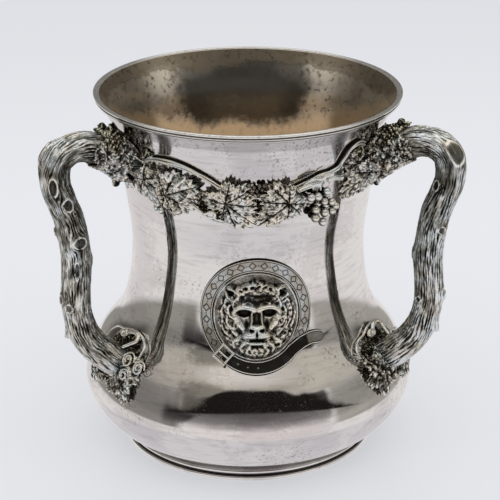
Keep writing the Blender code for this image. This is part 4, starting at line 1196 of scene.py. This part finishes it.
for k, (name, degrees, height, turn, lobes, droop) in enumerate(JOINT_LEAVES):
    veined, crumple, tone = (1.0, 0.0, 0.58) if "upper" in name else (0.45, 0.0006, 0.29)
    part = leaf_on_skin(degrees, height, turn, lobes, OVER_STEM + 0.0012, 4.0 + 1.3 * k,
                        curl=0.14, tilt=-droop, veined=veined, crumple=crumple, tone=tone)
    leaf = joined_mesh(name, [part], 60.0)
    add_copies(HANDLE_ANGLES, ("joint_" + name, leaf, oxidised_leaf, name))


def small_leaves(name, on_branch_leaves, on_skin_leaves, lift, tone):
    """Crumpled leaves on the branch and on the body, as one piece."""
    form = {"veined": 0.3, "crumple": 0.0010, "tone": tone, "spokes": 144, "rings": 20}
    parts = []
    for k, (length, side, turn, size, tilt) in enumerate(on_branch_leaves):
        place = branch_place(length * MM, side, turn)
        parts.append(leaf_parts(place, scaled_lobes(size), lift + 0.0005 * (k % 3), 1.7 * k,
                                curl=0.20, tilt=tilt, **form))
    for k, (degrees, height, turn, size) in enumerate(on_skin_leaves):
        parts.append(leaf_on_skin(degrees, height, turn, scaled_lobes(size), lift + 0.0006,
                                  2.1 * k, curl=0.14, **form))
    return joined_mesh(name, parts, 60.0)


def make_buds():
    """Flower buds among the leaves of the upper root, and one on a twig of its own."""
    start = 1.1 * HANDLE_ROOT_RADIUS + BUD_LENGTH
    parts = []
    golden = math.pi * (3 - math.sqrt(5))
    for k in range(BUD_COUNT):
        spread = math.sqrt((k + 0.5) / BUD_COUNT)
        right = 1.5 * BUD_WIDTH * spread * math.cos(k * golden)
        up = BUD_LENGTH * spread * math.sin(k * golden)
        length = np.array(start + up)
        radius = branch_radius(length)
        lift = SKIN_GAP + 0.0006 + BUD_HEIGHT * (1 - spread**2) * (0.5 + 0.2 * math.sin(5.0 * k))
        centre = on_branch(length, np.array(right / radius), radius + lift)
        parts.append(grape_part(centre, BUD_RADIUS * (1.05 + 0.3 * math.sin(3.7 * k))))
    length, side, high = TWIG_BUD
    foot = on_branch(np.array(length * MM), math.radians(side), float(branch_radius(length * MM)))
    steps = np.linspace(-0.1, 1.0, 20)
    line = foot + np.stack([-0.0012 * steps**2, 0.0008 * np.sin(3 * steps), steps * high * MM], -1)
    swell = 0.0007 + 0.0016 * bell(steps - 0.66, 0.24)
    parts.append(wire_part(line, swell, 14, 5, 300.0, 0.18, 0.35))
    return joined_mesh("buds", parts)


def coil(angle, height, lift, size):
    """Wire that winds in on itself, as (angle, height, lift), its outer turn this many mm."""
    shares = np.linspace(0.0, 1.0, 16)
    turn, reach = 3.6 * math.pi * shares, size * MM * (1 - 0.78 * shares)
    spread = np.degrees(1.35 * reach * np.cos(turn) / BELLY_RADIUS)
    return tuple(zip(angle + spread, height + reach * np.sin(turn), lift + 0.0012 * shares))


# The wires over the lower root, as angle, height and lift: an arch round the branch,
# a heavier loop whose end curls in, and coils beside it
CURL_WIRES = (
    (((-15.4, 0.0660, 0.0022), (-15.2, 0.0693, 0.0021), (-13.1, 0.0724, 0.0020), (-6.5, 0.0747, 0.0019),
      (-1.3, 0.0767, 0.0018), (4.4, 0.0769, 0.0018), (8.6, 0.0750, 0.0020), (10.9, 0.0722, 0.0024),
      (11.4, 0.0683, 0.0030), (11.0, 0.0640, 0.0036)), 1.15),
    (((-2.3, 0.0717, 0.0040), (-0.9, 0.0733, 0.0040), (-2.6, 0.0745, 0.0037), (-4.8, 0.0733, 0.0036),
      (-3.4, 0.0722, 0.0036), (-0.7, 0.0745, 0.0036), (2.4, 0.0762, 0.0036), (5.9, 0.0757, 0.0038),
      (6.7, 0.0734, 0.0042), (5.1, 0.0704, 0.0055), (3.2, 0.0674, 0.0072)), 1.9),
    (coil(8.6, 0.0644, 0.0056, 3.7), 0.95),
    (coil(14.2, 0.0630, 0.0044, 3.4), 0.95),
    (coil(9.4, 0.0580, 0.0056, 2.8), 0.85),
)


def make_curl():
    """Looped tendrils over the lower root."""
    parts = []
    for knots, thick in CURL_WIRES:
        spots = skin_line(knots, 0.0, 14)
        taper = thick * np.interp(np.linspace(0, 1, len(spots)), (0, 0.3, 0.8, 1), (0.7, 1, 1, 0.8))
        parts.append(wire_part(spots, TENDRIL_RADIUS * taper, 14, shine=0.95))
    return joined_mesh("curl", parts)


oxidised_bud = new_metal("oxidised_bud", OXIDE, 0.00005, Wear=0.37, Ridge=(0.92, 0.89, 0.76),
                         Slope=(0.115, 0.104, 0.072))
bud_leaves = small_leaves("bud_leaves", BUD_LEAVES, BUD_SKIN_LEAVES, 0.0010, 0.52)
root_leaves = small_leaves("root_leaves", ROOT_LEAVES, ROOT_SKIN_LEAVES, 0.0008, 0.27)
ground_leaves = small_leaves("ground_leaves", (), GROUND_LEAVES, 0.0004, 0.22)
# Dark leaves behind the garland: painted shade in its gaps
back_shade_leaves = small_leaves("back_shade_leaves", (), BACK_SHADE_LEAVES, 0.0002, 0.16)
add_copies(BAY_ANGLES, ("back_shade_leaves", back_shade_leaves, oxidised_bud))
add_copies(HANDLE_ANGLES, ("buds", make_buds(), oxidised_bud, "bud_cluster"),
           ("bud_leaves", bud_leaves, oxidised_bud), ("root_leaves", root_leaves, oxidised_leaf),
           ("ground_leaves", ground_leaves, oxidised_bud), ("curl", make_curl(), oxidised_leaf, "curl"))


# Medallion: a struck disc with a matted ground, let into a buckled strap of
# sheet with double fillets on both edges, both curved to the body and soldered.
MEDALLION_HEIGHT = 0.0985
MEDALLION_ANGLE = 270.8
MEDALLION_STRETCH = 1.065
STRAP_OUTER_RADIUS = 0.0307
STRAP_WIDTH = 0.0072
STRAP_THICKNESS = 0.0009
DISC_THICKNESS = 0.0006
TAIL_OVERHANG = 0.0106
TAIL_ROUNDING = STRAP_WIDTH / 2
TAIL_LEAVES_ANGLE = 315.0
TAIL_TIP_ANGLE = 338.2
BUCKLE_WIDTH = 0.0086
BUCKLE_LENGTH = 0.0068
BUCKLE_BAR = 0.0013
BUCKLE_ANGLE = 229.0
STRAP_MIDDLE = STRAP_OUTER_RADIUS - STRAP_WIDTH / 2
DISC_RADIUS = STRAP_OUTER_RADIUS - STRAP_WIDTH - JOINT_GAP
DISC_TOP = SKIN_GAP + DISC_THICKNESS
DISC_SPOKES = 180
# The strap's fillets and the grooves inside them: distance from the edge, and width.
# Beyond the last value is the open ground
FILLET_IN = 0.00056
FILLET_WIDTH = 0.00026
GROOVE_IN = 0.00102
GROOVE_WIDTH = 0.00017
GROUND_IN = 0.0011
on_front = skin_place(0.0, MEDALLION_HEIGHT)


def on_medallion(right, up, lift):
    """Points of the medallion, from its own flat pattern."""
    return on_front(right, up * MEDALLION_STRETCH, lift)


def make_disc():
    """Matted disc, a little dished, with a fillet round its edge."""
    turns = np.arange(DISC_SPOKES) * math.tau / DISC_SPOKES
    shares = np.concatenate([np.linspace(0.02, 0.94, 30), np.linspace(0.95, 1.0, 8)])
    share, turn = np.meshgrid(shares, turns, indexing="ij")
    reach = share * DISC_RADIUS
    right, up = reach * np.cos(turn), reach * np.sin(turn)
    spot = np.stack([right, up, np.zeros_like(up)], axis=-1)
    matting = mottle(spot, 0.00045, 2)
    fillet = bell(share - 0.975, 0.012)
    top = on_medallion(right, up, DISC_TOP - 0.0001 + 0.00006 * matting + 0.00022 * fillet)
    under = on_medallion(right, up, np.full_like(up, SKIN_GAP))
    relief = unit(0.34 + 0.30 * matting + 0.5 * fillet + 0.16 * mottle(spot, 0.006, 2))
    sheet = np.concatenate([top, under[::-1]])
    heights = np.concatenate([relief, relief * 0])
    return joined_mesh("matted_disc", [(sheet, capped_faces(len(sheet), DISC_SPOKES), heights)])


oxidised_mask = new_metal("oxidised_mask", OXIDE, 0.00003, Wear=0.55, Ridge=(0.95, 0.94, 0.91),
                          Slope=(0.27, 0.265, 0.25))
add_piece("matted_disc", make_disc(), oxidised_mask, "oxidised_silver", "medallion_disc",
          turn=MEDALLION_ANGLE)


def ring_points(radius, count, start, end):
    """Points along an arc between two angles, anticlockwise from the right."""
    angles = np.radians(np.linspace(start, end, count))
    return np.column_stack([radius * np.cos(angles), radius * np.sin(angles)])


def strap_tail_line():
    """Centre line of the strap's end: on round the ring from the buckle, then out to its tip."""
    tip_angle = math.radians(TAIL_TIP_ANGLE)
    tip_reach = STRAP_OUTER_RADIUS + TAIL_OVERHANG
    tip = (tip_reach * math.cos(tip_angle), tip_reach * math.sin(tip_angle))
    start = BUCKLE_ANGLE + math.degrees(JOINT_GAP / STRAP_MIDDLE)
    along_ring = ring_points(STRAP_MIDDLE, 90, start, TAIL_LEAVES_ANGLE)
    leaving = along_ring[-1]
    knots = (leaving, between(leaving, tip, 0.895, 0.335), between(leaving, tip, 1.21, 0.59), tip)
    line = np.vstack([along_ring[:-1], smooth_curve(knots, 18)])
    lengths = lengths_along(line)
    near_tip = lengths[-1] - TAIL_ROUNDING * (1 - np.sin(np.linspace(0.0, math.pi / 2, 18)))
    places = np.concatenate([lengths[lengths < near_tip[0] - 0.0001], near_tip])
    return np.column_stack([np.interp(places, lengths, line[:, k]) for k in (0, 1)])


def strap_part(line, widths, dress, sunk=0.0):
    """Strap along a line: fillets on both edges, and a ground that dress(along, off) works."""
    line = np.asarray(line)
    ahead = np.gradient(line, axis=0, edge_order=2)
    side = np.column_stack([-ahead[:, 1], ahead[:, 0]]) / np.linalg.norm(ahead, axis=1)[:, None]
    along = lengths_along(line)[:, None]
    near = np.linspace(0.985, 0.74, 14)
    steps = np.concatenate([[-1.0], -near, np.linspace(-0.71, 0.71, 29), near[::-1], [1.0]])
    spots = line[:, None] + side[:, None] * (steps * np.asarray(widths)[:, None] / 2)[..., None]
    off = steps * STRAP_WIDTH / 2 + 0 * along
    from_edge = STRAP_WIDTH / 2 - np.abs(off)
    fillets = bell(from_edge - FILLET_IN, FILLET_WIDTH)
    worked, tone = dress(along, off)
    open_ground = from_edge > GROUND_IN
    lift = SKIN_GAP + STRAP_THICKNESS * (0.62 + 0.38 * fillets) + worked * open_ground
    lift = np.where(from_edge < 0.00012, SKIN_GAP + STRAP_THICKNESS * 0.5, lift)
    lift = np.maximum(lift - np.reshape(sunk, (-1, 1)), SKIN_GAP + 0.00012)
    top = on_medallion(spots[..., 0], spots[..., 1], lift)
    under = on_medallion(spots[..., 0], spots[..., 1], np.full_like(lift, SKIN_GAP))
    # Painted shadow: the strap is darkened over the outermost 0.3 mm of both edges
    groove = bell(from_edge - GROOVE_IN, GROOVE_WIDTH) + 0.9 * (from_edge < 0.00030)
    relief = unit(np.where(open_ground, tone, 0.45) + 0.6 * fillets - 1.0 * groove)
    loop = np.concatenate([top, under[:, ::-1]], axis=1)
    heights = np.concatenate([relief, np.zeros_like(relief)], axis=1)
    return loop, capped_faces(*loop.shape[:2]), heights


# The border's pattern repeats at this length; the strap's end has eyelets at these angles
# round the ring, and its edge hides the ring's first few degrees
BORDER_REPEAT = 0.0062
TAIL_EYELETS = (234.5, 247.0, 258.5, 270.0)
RING_UNDER_TAIL = 9.0
LOZENGE = (0.0019, 0.0018)
EYELET_RADIUS = 0.00042
BRIGHT_TIP = 0.0105


def dress_border(along, off):
    """Plain border of engraved lozenges with a dot between each two."""
    spot = np.remainder(along, BORDER_REPEAT) - BORDER_REPEAT / 2
    lozenge = np.abs(np.abs(spot) / LOZENGE[0] + np.abs(off) / LOZENGE[1] - 1.0)
    cut = bell(lozenge, 0.19)
    dot = np.exp(-(((BORDER_REPEAT / 2 - np.abs(spot))**2 + off**2) / 0.00032**2))
    marks = np.maximum(cut, dot)
    return -0.00016 * marks, 0.62 - 0.55 * marks


def dress_tail(along, off):
    """Dark ground with small raised eyelets, and a brighter tip."""
    near_tip = unit((along - (TAIL_LENGTH - BRIGHT_TIP)) / 0.0008)
    rings = np.zeros(np.broadcast(along, off).shape)
    for angle in TAIL_EYELETS:
        place = math.radians(angle - BUCKLE_ANGLE) * STRAP_MIDDLE
        reach = np.hypot(along - place, off)
        rings = np.maximum(rings, bell(reach, EYELET_RADIUS))
    return 0.00012 * rings, 0.10 + 0.42 * near_tip + 0.60 * rings


tail_line = strap_tail_line()
TAIL_LENGTH = lengths_along(tail_line)[-1]
polished_strap = new_metal("polished_strap", OXIDE, 0.00002, Wear=0.49, Ridge=(0.84, 0.83, 0.81),
                           Slope=(0.31, 0.305, 0.29), Groove=(0.03, 0.028, 0.026))
from_tip = TAIL_LENGTH - lengths_along(tail_line)
rounding = np.clip(1.0 - from_tip / TAIL_ROUNDING, 0.0, 1.0)
tail_widths = STRAP_WIDTH * np.sqrt(1.0 - 0.99 * rounding**2)
tail_mesh = joined_mesh("strap_tail", [strap_part(tail_line, tail_widths, dress_tail)])
add_piece("strap_tail", tail_mesh, polished_strap, "polished_silver", "strap_end",
          turn=MEDALLION_ANGLE)

across_tail = np.gradient(tail_line, axis=0)[:, ::-1] * (-1, 1)
across_tail *= STRAP_WIDTH / 2 / np.linalg.norm(across_tail, axis=1)[:, None]
tail_edge = (tail_line + across_tail)[-55:]
ring_start = np.interp(STRAP_OUTER_RADIUS, np.hypot(*tail_edge.T),
                       np.degrees(np.arctan2(tail_edge[:, 1], tail_edge[:, 0])))
ring_line = ring_points(STRAP_MIDDLE, 360, ring_start - RING_UNDER_TAIL,
                        BUCKLE_ANGLE - math.degrees(JOINT_GAP / STRAP_MIDDLE))
from_start = np.degrees(lengths_along(ring_line) / STRAP_MIDDLE)
sunk = 0.0005 * unit((RING_UNDER_TAIL + 3.0 - from_start) / 3.0)
ring_mesh = joined_mesh("strap_border",
                        [strap_part(ring_line, np.full(360, STRAP_WIDTH), dress_border, sunk)])
add_piece("strap_border", ring_mesh, polished_strap, "polished_silver", "strap_ring",
          turn=MEDALLION_ANGLE)


# Buckle: a small cast frame with its prong, laid over the strap where its end
# passes through.
OVER_STRAP = SKIN_GAP + STRAP_THICKNESS + JOINT_GAP


def bar_part(start, end, radius, lift):
    """Rounded bar between two (right, up) points of the medallion's pattern."""
    spots = np.linspace(start, end, 24)
    line = on_medallion(spots[:, 0], spots[:, 1], np.full(24, lift))
    return wire_part(line, radius, 12, shine=0.8)


def make_buckle():
    """Four bars with ball corners, and the prong across them."""
    turn = math.radians(BUCKLE_ANGLE)
    spot = np.array((STRAP_MIDDLE * math.cos(turn), STRAP_MIDDLE * math.sin(turn)))
    along = np.array((-math.sin(turn), math.cos(turn))) * BUCKLE_LENGTH / 2
    across = np.array((math.cos(turn), math.sin(turn))) * BUCKLE_WIDTH / 2
    bar = BUCKLE_BAR / 2
    lift = OVER_STRAP + bar
    corners = [spot + a * along + c * across for a, c in ((-1, -1), (1, -1), (1, 1), (-1, 1))]
    parts = [bar_part(start, end, bar, lift)
             for start, end in zip(corners, corners[1:] + corners[:1])]
    parts.append(bar_part(spot - along, spot + along * 1.05, bar * 0.7, lift + bar * 0.9))
    for corner in corners:
        centre = on_medallion(corner[0], corner[1], lift)
        parts.append(grape_part(centre, bar * 1.35))
    return joined_mesh("strap_buckle", parts)


add_piece("strap_buckle", make_buckle(), polished_strap, "polished_silver", "buckle",
          turn=MEDALLION_ANGLE)


# Lion's mask: cast in high relief and chased with locks of mane, then fixed to
# the disc; its brow, nose and cheeks are worn bright over black hollows.
MASK_SPOKES = 300
MASK_RINGS = 120
MASK_HEIGHT = 0.0060
# Height in mm that the mask's form is drawn to, before it is scaled to the real one
DRAWN_HEIGHT = 7.4
# Fine hairs across a lock, as turns of a wave for each mm off its middle
HAIR_TURNS = 4.6

# Rows of the mane's locks: how many, start and end in mm from the middle, width, height
LOCK_ROWS = ((21, 14.4, 20.8, 1.75, 3.0), (18, 12.0, 18.4, 1.7, 3.6), (15, 10.2, 15.4, 1.6, 4.2))
# Curl of a lock: share of its length, and swing aside as a share of its bend
LOCK_CURL = ((0.0, 0.0), (0.3, -0.7), (0.6, -0.4), (0.85, 0.6), (1.0, 1.35), (0.92, 1.9))
# Outer edge of the mane: angle and reach in mm
MASK_EDGE = ((-180, 20.0), (-165, 20.6), (-150, 20.4), (-135, 20.8), (-120, 21.4), (-105, 21.6),
             (-90, 21.8), (-75, 21.6), (-60, 21.4), (-45, 21.2), (-30, 21.2), (-15, 21.4),
             (0, 21.3), (15, 20.6), (28, 20.2), (38, 20.8), (46, 22.2), (53, 21.0), (60, 18.6),
             (70, 18.4), (80, 19.4), (90, 20.0), (100, 19.4), (110, 18.4), (120, 18.6),
             (127, 21.0), (134, 22.2), (142, 20.8), (152, 20.2), (165, 20.4), (180, 20.0))

# The face, the same on both sides. Hollows: forehead, eye, bridge of the nose, beside
# it, nostril, lip's furrow, mouth, chin, lean cheek, ear. Each is a centre, half
# widths, squareness and depth
LION_HOLLOWS = (
    ((0.0, 8.9), (8.0, 2.7), 4.0, 2.0), ((6.4, 1.9), (3.2, 1.8), 2.6, 3.6),
    ((0.0, -0.8), (1.7, 3.0), 4.0, 1.3), ((5.2, -3.8), (0.9, 2.6), 2.0, 1.4),
    ((2.6, -7.3), (0.9, 0.7), 2.0, 2.1), ((0.0, -9.8), (0.45, 1.7), 2.0, 2.2),
    ((0.0, -12.5), (3.2, 0.65), 4.0, 3.2), ((0.0, -16.2), (4.0, 0.6), 3.0, 0.6),
    ((8.6, -8.0), (1.5, 2.4), 2.0, 1.4), ((13.2, 12.8), (1.5, 2.0), 3.0, 2.2),
)
# Mounds: crown, nose and its tip, pads of the upper lip, lower lip, beard
LION_MOUNDS = (
    ((0.4, 13.0), (2.6, 2.1), 2.0, 1.0), ((0.0, -5.3), (4.0, 1.4), 3.0, 2.8),
    ((0.0, -7.0), (1.8, 1.5), 2.0, 2.2), ((3.3, -9.9), (2.9, 1.7), 2.6, 3.2),
    ((0.0, -14.3), (4.0, 0.8), 3.0, 2.8), ((0.0, -19.0), (5.0, 2.6), 2.0, 1.0),
)
# Ridges: brow and its crease, lower eyelid, side of the nose, cheek, three tufts of the
# crown, both sides of the ear, four curls of the beard. Each is points, width, height
LION_RIDGES = (
    (((1.3, 4.1), (3.6, 5.3), (6.8, 5.7), (9.8, 4.6), (11.6, 3.0)), 1.75, 2.9),
    (((1.8, 6.8), (4.2, 7.8), (7.0, 7.5)), 0.50, 0.9),
    (((4.4, 0.2), (6.4, -0.5), (8.8, 0.5)), 0.55, 0.7),
    (((2.6, 2.0), (2.5, -1.6), (3.2, -4.4), (3.9, -5.6)), 0.60, 2.5),
    (((11.0, 1.0), (9.4, -2.6), (7.4, -6.0)), 2.0, 1.9),
    (((2.4, 14.8), (3.2, 16.6), (1.6, 18.2), (0.4, 16.8)), 1.0, 2.3),
    (((4.8, 14.2), (6.6, 15.4), (6.0, 17.6), (4.4, 17.2)), 1.0, 2.3),
    (((7.2, 12.6), (9.0, 14.2), (8.6, 16.4)), 1.0, 2.1),
    (((9.2, 10.0), (10.8, 13.8), (16.2, 16.8)), 0.95, 2.9),
    (((16.2, 16.8), (15.8, 12.4), (13.0, 9.4)), 0.85, 2.7),
    (((1.2, -17.0), (2.6, -18.8), (1.4, -20.8)), 1.0, 1.9),
    (((3.8, -16.2), (5.4, -18.0), (4.4, -20.2)), 1.0, 1.9),
    (((6.6, -14.4), (8.6, -16.2), (7.8, -18.6)), 1.0, 1.9),
    (((9.6, -12.0), (12.0, -13.4), (11.8, -16.2)), 1.1, 2.1),
)


def bump(x, y, centre, reach, power=2.0):
    """Smooth mound of height 1 at a centre, with its half widths in x and y."""
    return np.exp(-(np.abs((x - centre[0]) / reach[0])**power
                    + np.abs((y - centre[1]) / reach[1])**power))


def stroke(x, y, points, width, taper=0.6, power=2.0, ribs=0.0):
    """Ridge of height 1 along a curved line, narrowing towards its end, with ribs on it."""
    line = smooth_curve(points, 5)
    low, high = line.min(axis=0) - 2.4 * width, line.max(axis=0) + 2.4 * width
    near = (x > low[0]) & (x < high[0]) & (y > low[1]) & (y < high[1])
    ridge = np.zeros(np.shape(x))
    x, y = x[near], y[near]
    best = np.zeros(np.shape(x))
    total = len(line) - 1
    for k, (start, end) in enumerate(zip(line, line[1:])):
        span = end - start
        share = unit(((x - start[0]) * span[0] + (y - start[1]) * span[1])
                     / max(span @ span, 1e-9))
        gap = np.hypot(x - start[0] - share * span[0], y - start[1] - share * span[1])
        local = width * (1 - taper * ((k + share) / total)**1.5)
        ribbed = 1 - ribs + ribs * np.cos(gap * HAIR_TURNS)
        best = np.maximum(best, np.exp(-(gap / local)**power) * ribbed)
    ridge[near] = best
    return ridge


def make_locks():
    """Curved locks of mane as (points, width, height), outer rows first."""
    locks = []
    for row, (count, start, end, width, high) in enumerate(LOCK_ROWS):
        for k in range(count):
            angle = -90.0 + 360.0 * (k + 0.5 * (row % 2)) / count
            angle += 6.0 * math.sin(2.1 * k + row)
            fold = math.remainder(angle - 90.0, 360.0)
            if row == 2 and abs(fold) > 140 or row > 0 and abs(fold) < 34:
                continue
            hand = 1.0 if math.sin(math.radians(angle)) > -0.9 else -0.4
            bend = hand * (1.0 if math.cos(math.radians(angle)) > 0 else -1.0)
            bend *= 15.0 + 8.0 * math.sin(1.7 * k + 2.0 * row)
            points = []
            for share, swing in LOCK_CURL:
                turn = math.radians(angle + swing * bend)
                reach = start + (end - start) * share
                points.append((reach * math.cos(turn), reach * math.sin(turn)))
            locks.append((points, width * (0.85 + 0.2 * math.sin(3.0 * k)), high))
    return locks


LOCKS = make_locks()


def lion_height(x, y, ribs=0.02):
    """Height in mm of the mask over its ground, at points in mm from its middle."""
    reach = np.hypot(x, y)
    side = np.abs(x)
    base = 1.0 + 1.3 * unit(1 - (reach / 22.0)**5)
    high = base
    for points, width, top in LOCKS:
        high = np.maximum(high, base + (top - base) * stroke(x, y, points, width, 0.45, 2.3, ribs))
    face = bump(side, y, (0.0, -3.2), (10.4, 13.2), 5.0)
    high = high * (1 - face) + 2.9 * face
    for centre, spread, power, depth in LION_HOLLOWS:
        high -= depth * bump(side, y, centre, spread, power)
    for centre, spread, power, top in LION_MOUNDS:
        high += top * bump(side, y, centre, spread, power)
    uneven = np.abs(x + 0.9 * np.sin(0.9 * y) * unit((y - 9.0) / 4.0))
    for points, width, top in LION_RIDGES:
        high += top * stroke(uneven, y, points, width, 0.3, 2.0 if width < 1.5 else 3.4)
    return np.maximum(high, 0.2)


def make_mask():
    """Polar grid over the mane's outline, its edge turned down to the disc."""
    turns = np.arange(MASK_SPOKES) * 360.0 / MASK_SPOKES - 180.0
    edge = np.interp(turns, *np.array(MASK_EDGE, dtype=float).T)
    edge += 0.55 * np.cos(np.radians(turns * 21)) * np.cos(np.radians(turns * 2 + 30))
    shares = np.concatenate([np.linspace(0.01, 0.985, MASK_RINGS - 1), [1.0]])
    reach = shares[:, None] * edge
    x = reach * np.cos(np.radians(turns))
    y = reach * np.sin(np.radians(turns))
    high = lion_height(x, y)
    around = np.radians(np.arange(8) * 45.0)
    low = sum(lion_height(x + 1.2 * math.cos(a), y + 1.2 * math.sin(a)) for a in around) / 8
    hair = lion_height(x, y, 0.14)
    spot = np.stack([x, y, np.zeros_like(x)], axis=-1) * MM
    patches = 0.75 * mottle(spot, 0.0016, 2) * unit(np.hypot(x, y) / 9.0 - 0.6)
    relief = unit(0.50 + 0.46 * (hair - low) + 0.15 * (hair - 3.0) + patches)
    fade = unit((1 - shares[:, None]) / 0.03)**0.5
    ground = DISC_TOP + 0.0001
    lift = ground + high * MASK_HEIGHT / DRAWN_HEIGHT * (0.15 + 0.85 * fade)
    top = on_medallion(x * MM, y * MM, lift)
    under = on_medallion(x[::12] * MM, y[::12] * MM, np.full(x[::12].shape, ground))
    under = np.concatenate([under, on_medallion(x[-1:] * MM, y[-1:] * MM, ground)])
    sheet = np.concatenate([top, under[::-1]])
    heights = np.concatenate([relief, np.zeros(under.shape[:2])])
    return joined_mesh("mask", [(sheet, capped_faces(len(sheet), MASK_SPOKES), heights)], 60.0)


add_piece("mask_of_lion", make_mask(), oxidised_mask, "oxidised_silver", "lion_mask",
          turn=MEDALLION_ANGLE)
